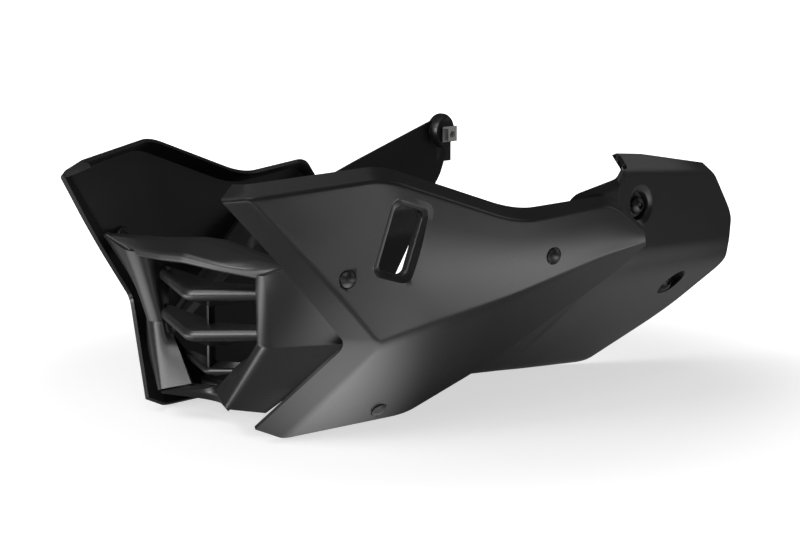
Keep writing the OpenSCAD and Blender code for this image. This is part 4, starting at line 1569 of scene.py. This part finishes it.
@dataclass
class TrayBolts:
    """The two tray bolts with smooth domed heads."""

    thread_r: float = 3.0
    thread_share: float = 0.6
    thread_cut: float = 0.45
    pitch: float = 1.0
    shank_r: float = 3.5
    head_d: float = 13.0
    head_h: float = 4.5
    dome: float = 0.62
    dimple_r: float = 2.5
    length: float = 30.0
    under: float = 3.3

    def profile(self, depth: float) -> Profile:
        """Returns the bolt's profile, with a thread cut as rings along its end.

        Args:
            depth: Depth of the pocket that it sits in.

        Returns:
            Radius and height of each corner.
        """
        base, radius, thread = self.under - depth, self.head_d / 2, self.thread_r
        ball = self.head_d * self.dome
        centre = base + self.head_h - ball
        start, reach = math.asin(self.dimple_r / ball), math.asin((radius - 0.3) / ball)
        dimple = [(0, base + 2), (1.9, base + 2.2), (2.2, base + 2.4)]
        dome = [(ball * math.sin(a), centre + ball * math.cos(a))
                for a in (start + (reach - start) * step / 8 for step in range(9))]
        tip = base - self.length
        thread_end = tip + self.length * self.thread_share
        turns = []
        height = thread_end
        while height > tip + 2:
            turns += [(thread, height), (thread - self.thread_cut, height - self.pitch / 2)]
            height -= self.pitch
        return [*dimple, *dome, (radius, base + 0.35), (radius - 0.2, base), (self.shank_r, base),
                (self.shank_r, thread_end + 0.4), *turns, (thread - 0.3, tip + 1),
                (thread - 1, tip), (0, tip)]

    def build(self, fitter: Fitter, tray: RearTray) -> None:
        """Makes both bolts.

        Args:
            fitter: Puts the pieces on the frame.
            tray: The tray that they hold.
        """
        for label, place, depth in zip(("upper", "lower"), tray.bolt_frames(), tray.depths()):
            bolt = Stock.finish(Stock.lathe(label + "_screw", self.profile(depth), place))
            fitter.fit(bolt, Slot.BOLT, label + "_bolt")


@dataclass
class SmallParts:
    """The fasteners whose solids are shown as they are, with their own finishes."""

    kept: dict[str, Slot] = field(default_factory=lambda: {
        "upper_spacer": Slot.SPACER, "lower_spacer": Slot.SPACER,
        "upper_grommet": Slot.RUBBER, "lower_grommet": Slot.RUBBER,
        "right_clip_nut": Slot.CLIP, "floor_plungers": Slot.NYLON, "floor_sleeves": Slot.NYLON})

    def build(self, fitter: Fitter, nodes: dict[str, bpy.types.Object]) -> None:
        """Finishes each kept solid.

        Args:
            fitter: Gives the finishes.
            nodes: The solids by name.
        """
        for name, slot in self.kept.items():
            fitter.keep(nodes[name], slot)


def stand(made: bpy.types.Object, at: Point, to: Point) -> None:
    """Puts a lamp or the camera in the scene.

    Args:
        made: The lamp or camera.
        at: Its place, in metres.
        to: The point that it faces.
    """
    made.location = at
    made.rotation_euler = (Vector(to) - Vector(at)).to_track_quat("-Z", "Y").to_euler()
    bpy.context.scene.collection.objects.link(made)


@dataclass(frozen=True)
class Lamp:
    """A soft rectangular lamp."""

    name: str
    at: Point
    to: Point
    size: tuple[float, float]
    watts: float
    spread: float = 180.0

    def hang(self) -> None:
        """Adds the lamp to the scene."""
        data = bpy.data.lights.new(self.name, "AREA")
        data.shape = "RECTANGLE"
        data.size, data.size_y = self.size
        data.energy = self.watts
        data.spread = math.radians(self.spread)
        stand(bpy.data.objects.new(self.name, data), self.at, self.to)


@dataclass(frozen=True)
class Pool:
    """A soft round patch of light on the floor, which only the part sees."""

    x: float
    y: float
    radius: float
    level: float


@dataclass
class Studio:
    """The pale floor, the soft lights and the camera."""

    camera_at: Point = (-1.0029, -1.0503, 0.3366)
    camera_to: Point = (0.012, 0.0, 0.08801)
    lens: float = 90.0
    sensor: float = 36.0
    floor_size: float = 14.0
    floor_drop: float = 0.0004
    floor_white: float = 0.9
    floor_card: float = 0.25
    shadow_share: float = 0.63
    shadow_near: float = 0.22
    shadow_far: float = 0.6
    far_share: float = 0.95
    glow: float = 1.7
    sky: float = 0.05
    card_glow: float = 0.07
    pool_core: float = 0.2
    pools: Sequence[Pool] = (
        Pool(0.14, -0.48, 0.3, 3.6), Pool(-0.1, -1.05, 0.45, 3.6), Pool(-0.6, -0.42, 0.28, 3.2),
        Pool(-0.14, -0.15, 0.13, 2.6), Pool(-0.38, 0.16, 0.21, 3.6), Pool(0.27, -0.1, 0.25, 0.2))
    lamps: Sequence[Lamp] = (
        Lamp("overhead", (-0.1, 0.0, 1.6), (0.0, 0.0, 0.09), (1.5, 1.2), 2.1),
        Lamp("front_top", (-0.85, 0.3, 0.95), (-0.17, 0.0, 0.08), (0.8, 0.6), 2.4, 120.0),
        Lamp("near_top", (-0.55, -0.53, 0.95), (-0.17, 0.0, 0.05), (0.5, 0.5), 1.3),
        Lamp("front", (-1.4, 0.42, 0.4), (-0.2, 0.0, 0.06), (0.6, 0.7), 4.0, 110.0),
        Lamp("rear", (1.5, -0.75, 0.85), (0.1, -0.1, 0.1), (0.8, 1.1), 1.9))

    def camera(self) -> None:
        """Sets the camera at the photograph's viewing angle."""
        data = bpy.data.cameras.new("view")
        data.lens, data.sensor_width = self.lens, self.sensor
        data.clip_start, data.clip_end = 0.05, 60.0
        made = bpy.data.objects.new("view", data)
        stand(made, self.camera_at, self.camera_to)
        bpy.context.scene.camera = made

    def world(self) -> None:
        """Makes the surroundings white to the camera and a plain pale grey to the part."""
        world = bpy.data.worlds.new("studio")
        bpy.context.scene.world = world
        bench = Bench(world)
        path = bench.node("ShaderNodeLightPath")
        seen, light = (bench.node("ShaderNodeBackground", inputs={
            "Color": (1, 1, 1, 1), "Strength": strength}) for strength in (1.0, self.sky))
        mix = bench.node("ShaderNodeMixShader", inputs={
            0: path.outputs["Is Camera Ray"], 1: light.outputs[0], 2: seen.outputs[0]})
        bench.node("ShaderNodeOutputWorld", inputs={"Surface": mix.outputs[0]})

    def pool_light(self, coat: Coat) -> Any:
        """Adds up the light of the card and its pools.

        Args:
            coat: The floor's material.

        Returns:
            The level at each place of the floor.
        """
        light: Any = self.card_glow
        for pool in self.pools:
            away = coat.node("ShaderNodeVectorMath", {"operation": "DISTANCE"},
                             {0: coat.place, 1: (pool.x, pool.y, 0.0)})
            fade = coat.node("ShaderNodeMapRange", {"interpolation_type": "SMOOTHSTEP"}, {
                "Value": away.outputs["Value"], "From Min": pool.radius * self.pool_core,
                "From Max": pool.radius, "To Min": pool.level, "To Max": 0.0})
            light = Signal(coat, fade.outputs[0]) + light
        return light

    def floor(self) -> None:
        """Lays the floor, which is white to the camera except for the part's soft shadow."""
        mesh = bmesh.new()
        bmesh.ops.create_grid(mesh, x_segments=2, y_segments=2, size=self.floor_size)
        bmesh.ops.translate(mesh, vec=(0, 0, -self.floor_drop), verts=mesh.verts[:])
        floor = Stock.piece("studio_floor", mesh)
        coat = Coat("floor_white")
        path = coat.node("ShaderNodeLightPath")
        seen = Signal(coat, path.outputs["Is Camera Ray"])
        coat.shade("Base Color", coat.blend(seen, (self.floor_card,) * 3, (self.floor_white,) * 3))
        coat.shade("Roughness", 0.9)
        coat.shade("Specular IOR Level", 0.0)
        coat.shade("Emission Color", self.pool_light(coat) * (1 - seen))
        coat.shade("Emission Strength", 1.0)
        glow = coat.node("ShaderNodeEmission", inputs={
            "Color": (1, 1, 1, 1), "Strength": self.glow})
        reach = coat.node("ShaderNodeVectorMath", {"operation": "LENGTH"}, {0: coat.place})
        far = coat.node("ShaderNodeMapRange", {"interpolation_type": "SMOOTHSTEP"}, {
            "Value": reach.outputs["Value"], "From Min": self.shadow_near,
            "From Max": self.shadow_far, "To Min": 1 - self.shadow_share,
            "To Max": self.far_share})
        share = seen * Signal(coat, far.outputs[0])
        mix = coat.node("ShaderNodeMixShader", inputs={
            0: share, 1: coat.shader.outputs[0], 2: glow.outputs[0]})
        coat.feed(coat.output.inputs["Surface"], mix.outputs[0])
        floor.data.materials.append(coat.material)

    def build(self) -> None:
        """Builds the whole studio."""
        bpy.context.scene.view_settings.view_transform = "Standard"
        self.camera()
        self.world()
        self.floor()
        for lamp in self.lamps:
            lamp.hang()


def main() -> None:
    """Builds the part round its frame, then the studio."""
    logging.basicConfig(level=logging.INFO, format="%(name)s: %(message)s")
    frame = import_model()
    fitter = Fitter(Finishes())
    panels, tray = SidePanels(), RearTray()
    panels.build(fitter)
    FrontGrille().build(fitter, panels, tray)
    tray.build(fitter, panels)
    RivetSet().build(fitter, panels)
    TrayBolts().build(fitter, tray)
    SmallParts().build(fitter, frame["nodes"])
    Studio().build()


if __name__ == "__main__":
    main()
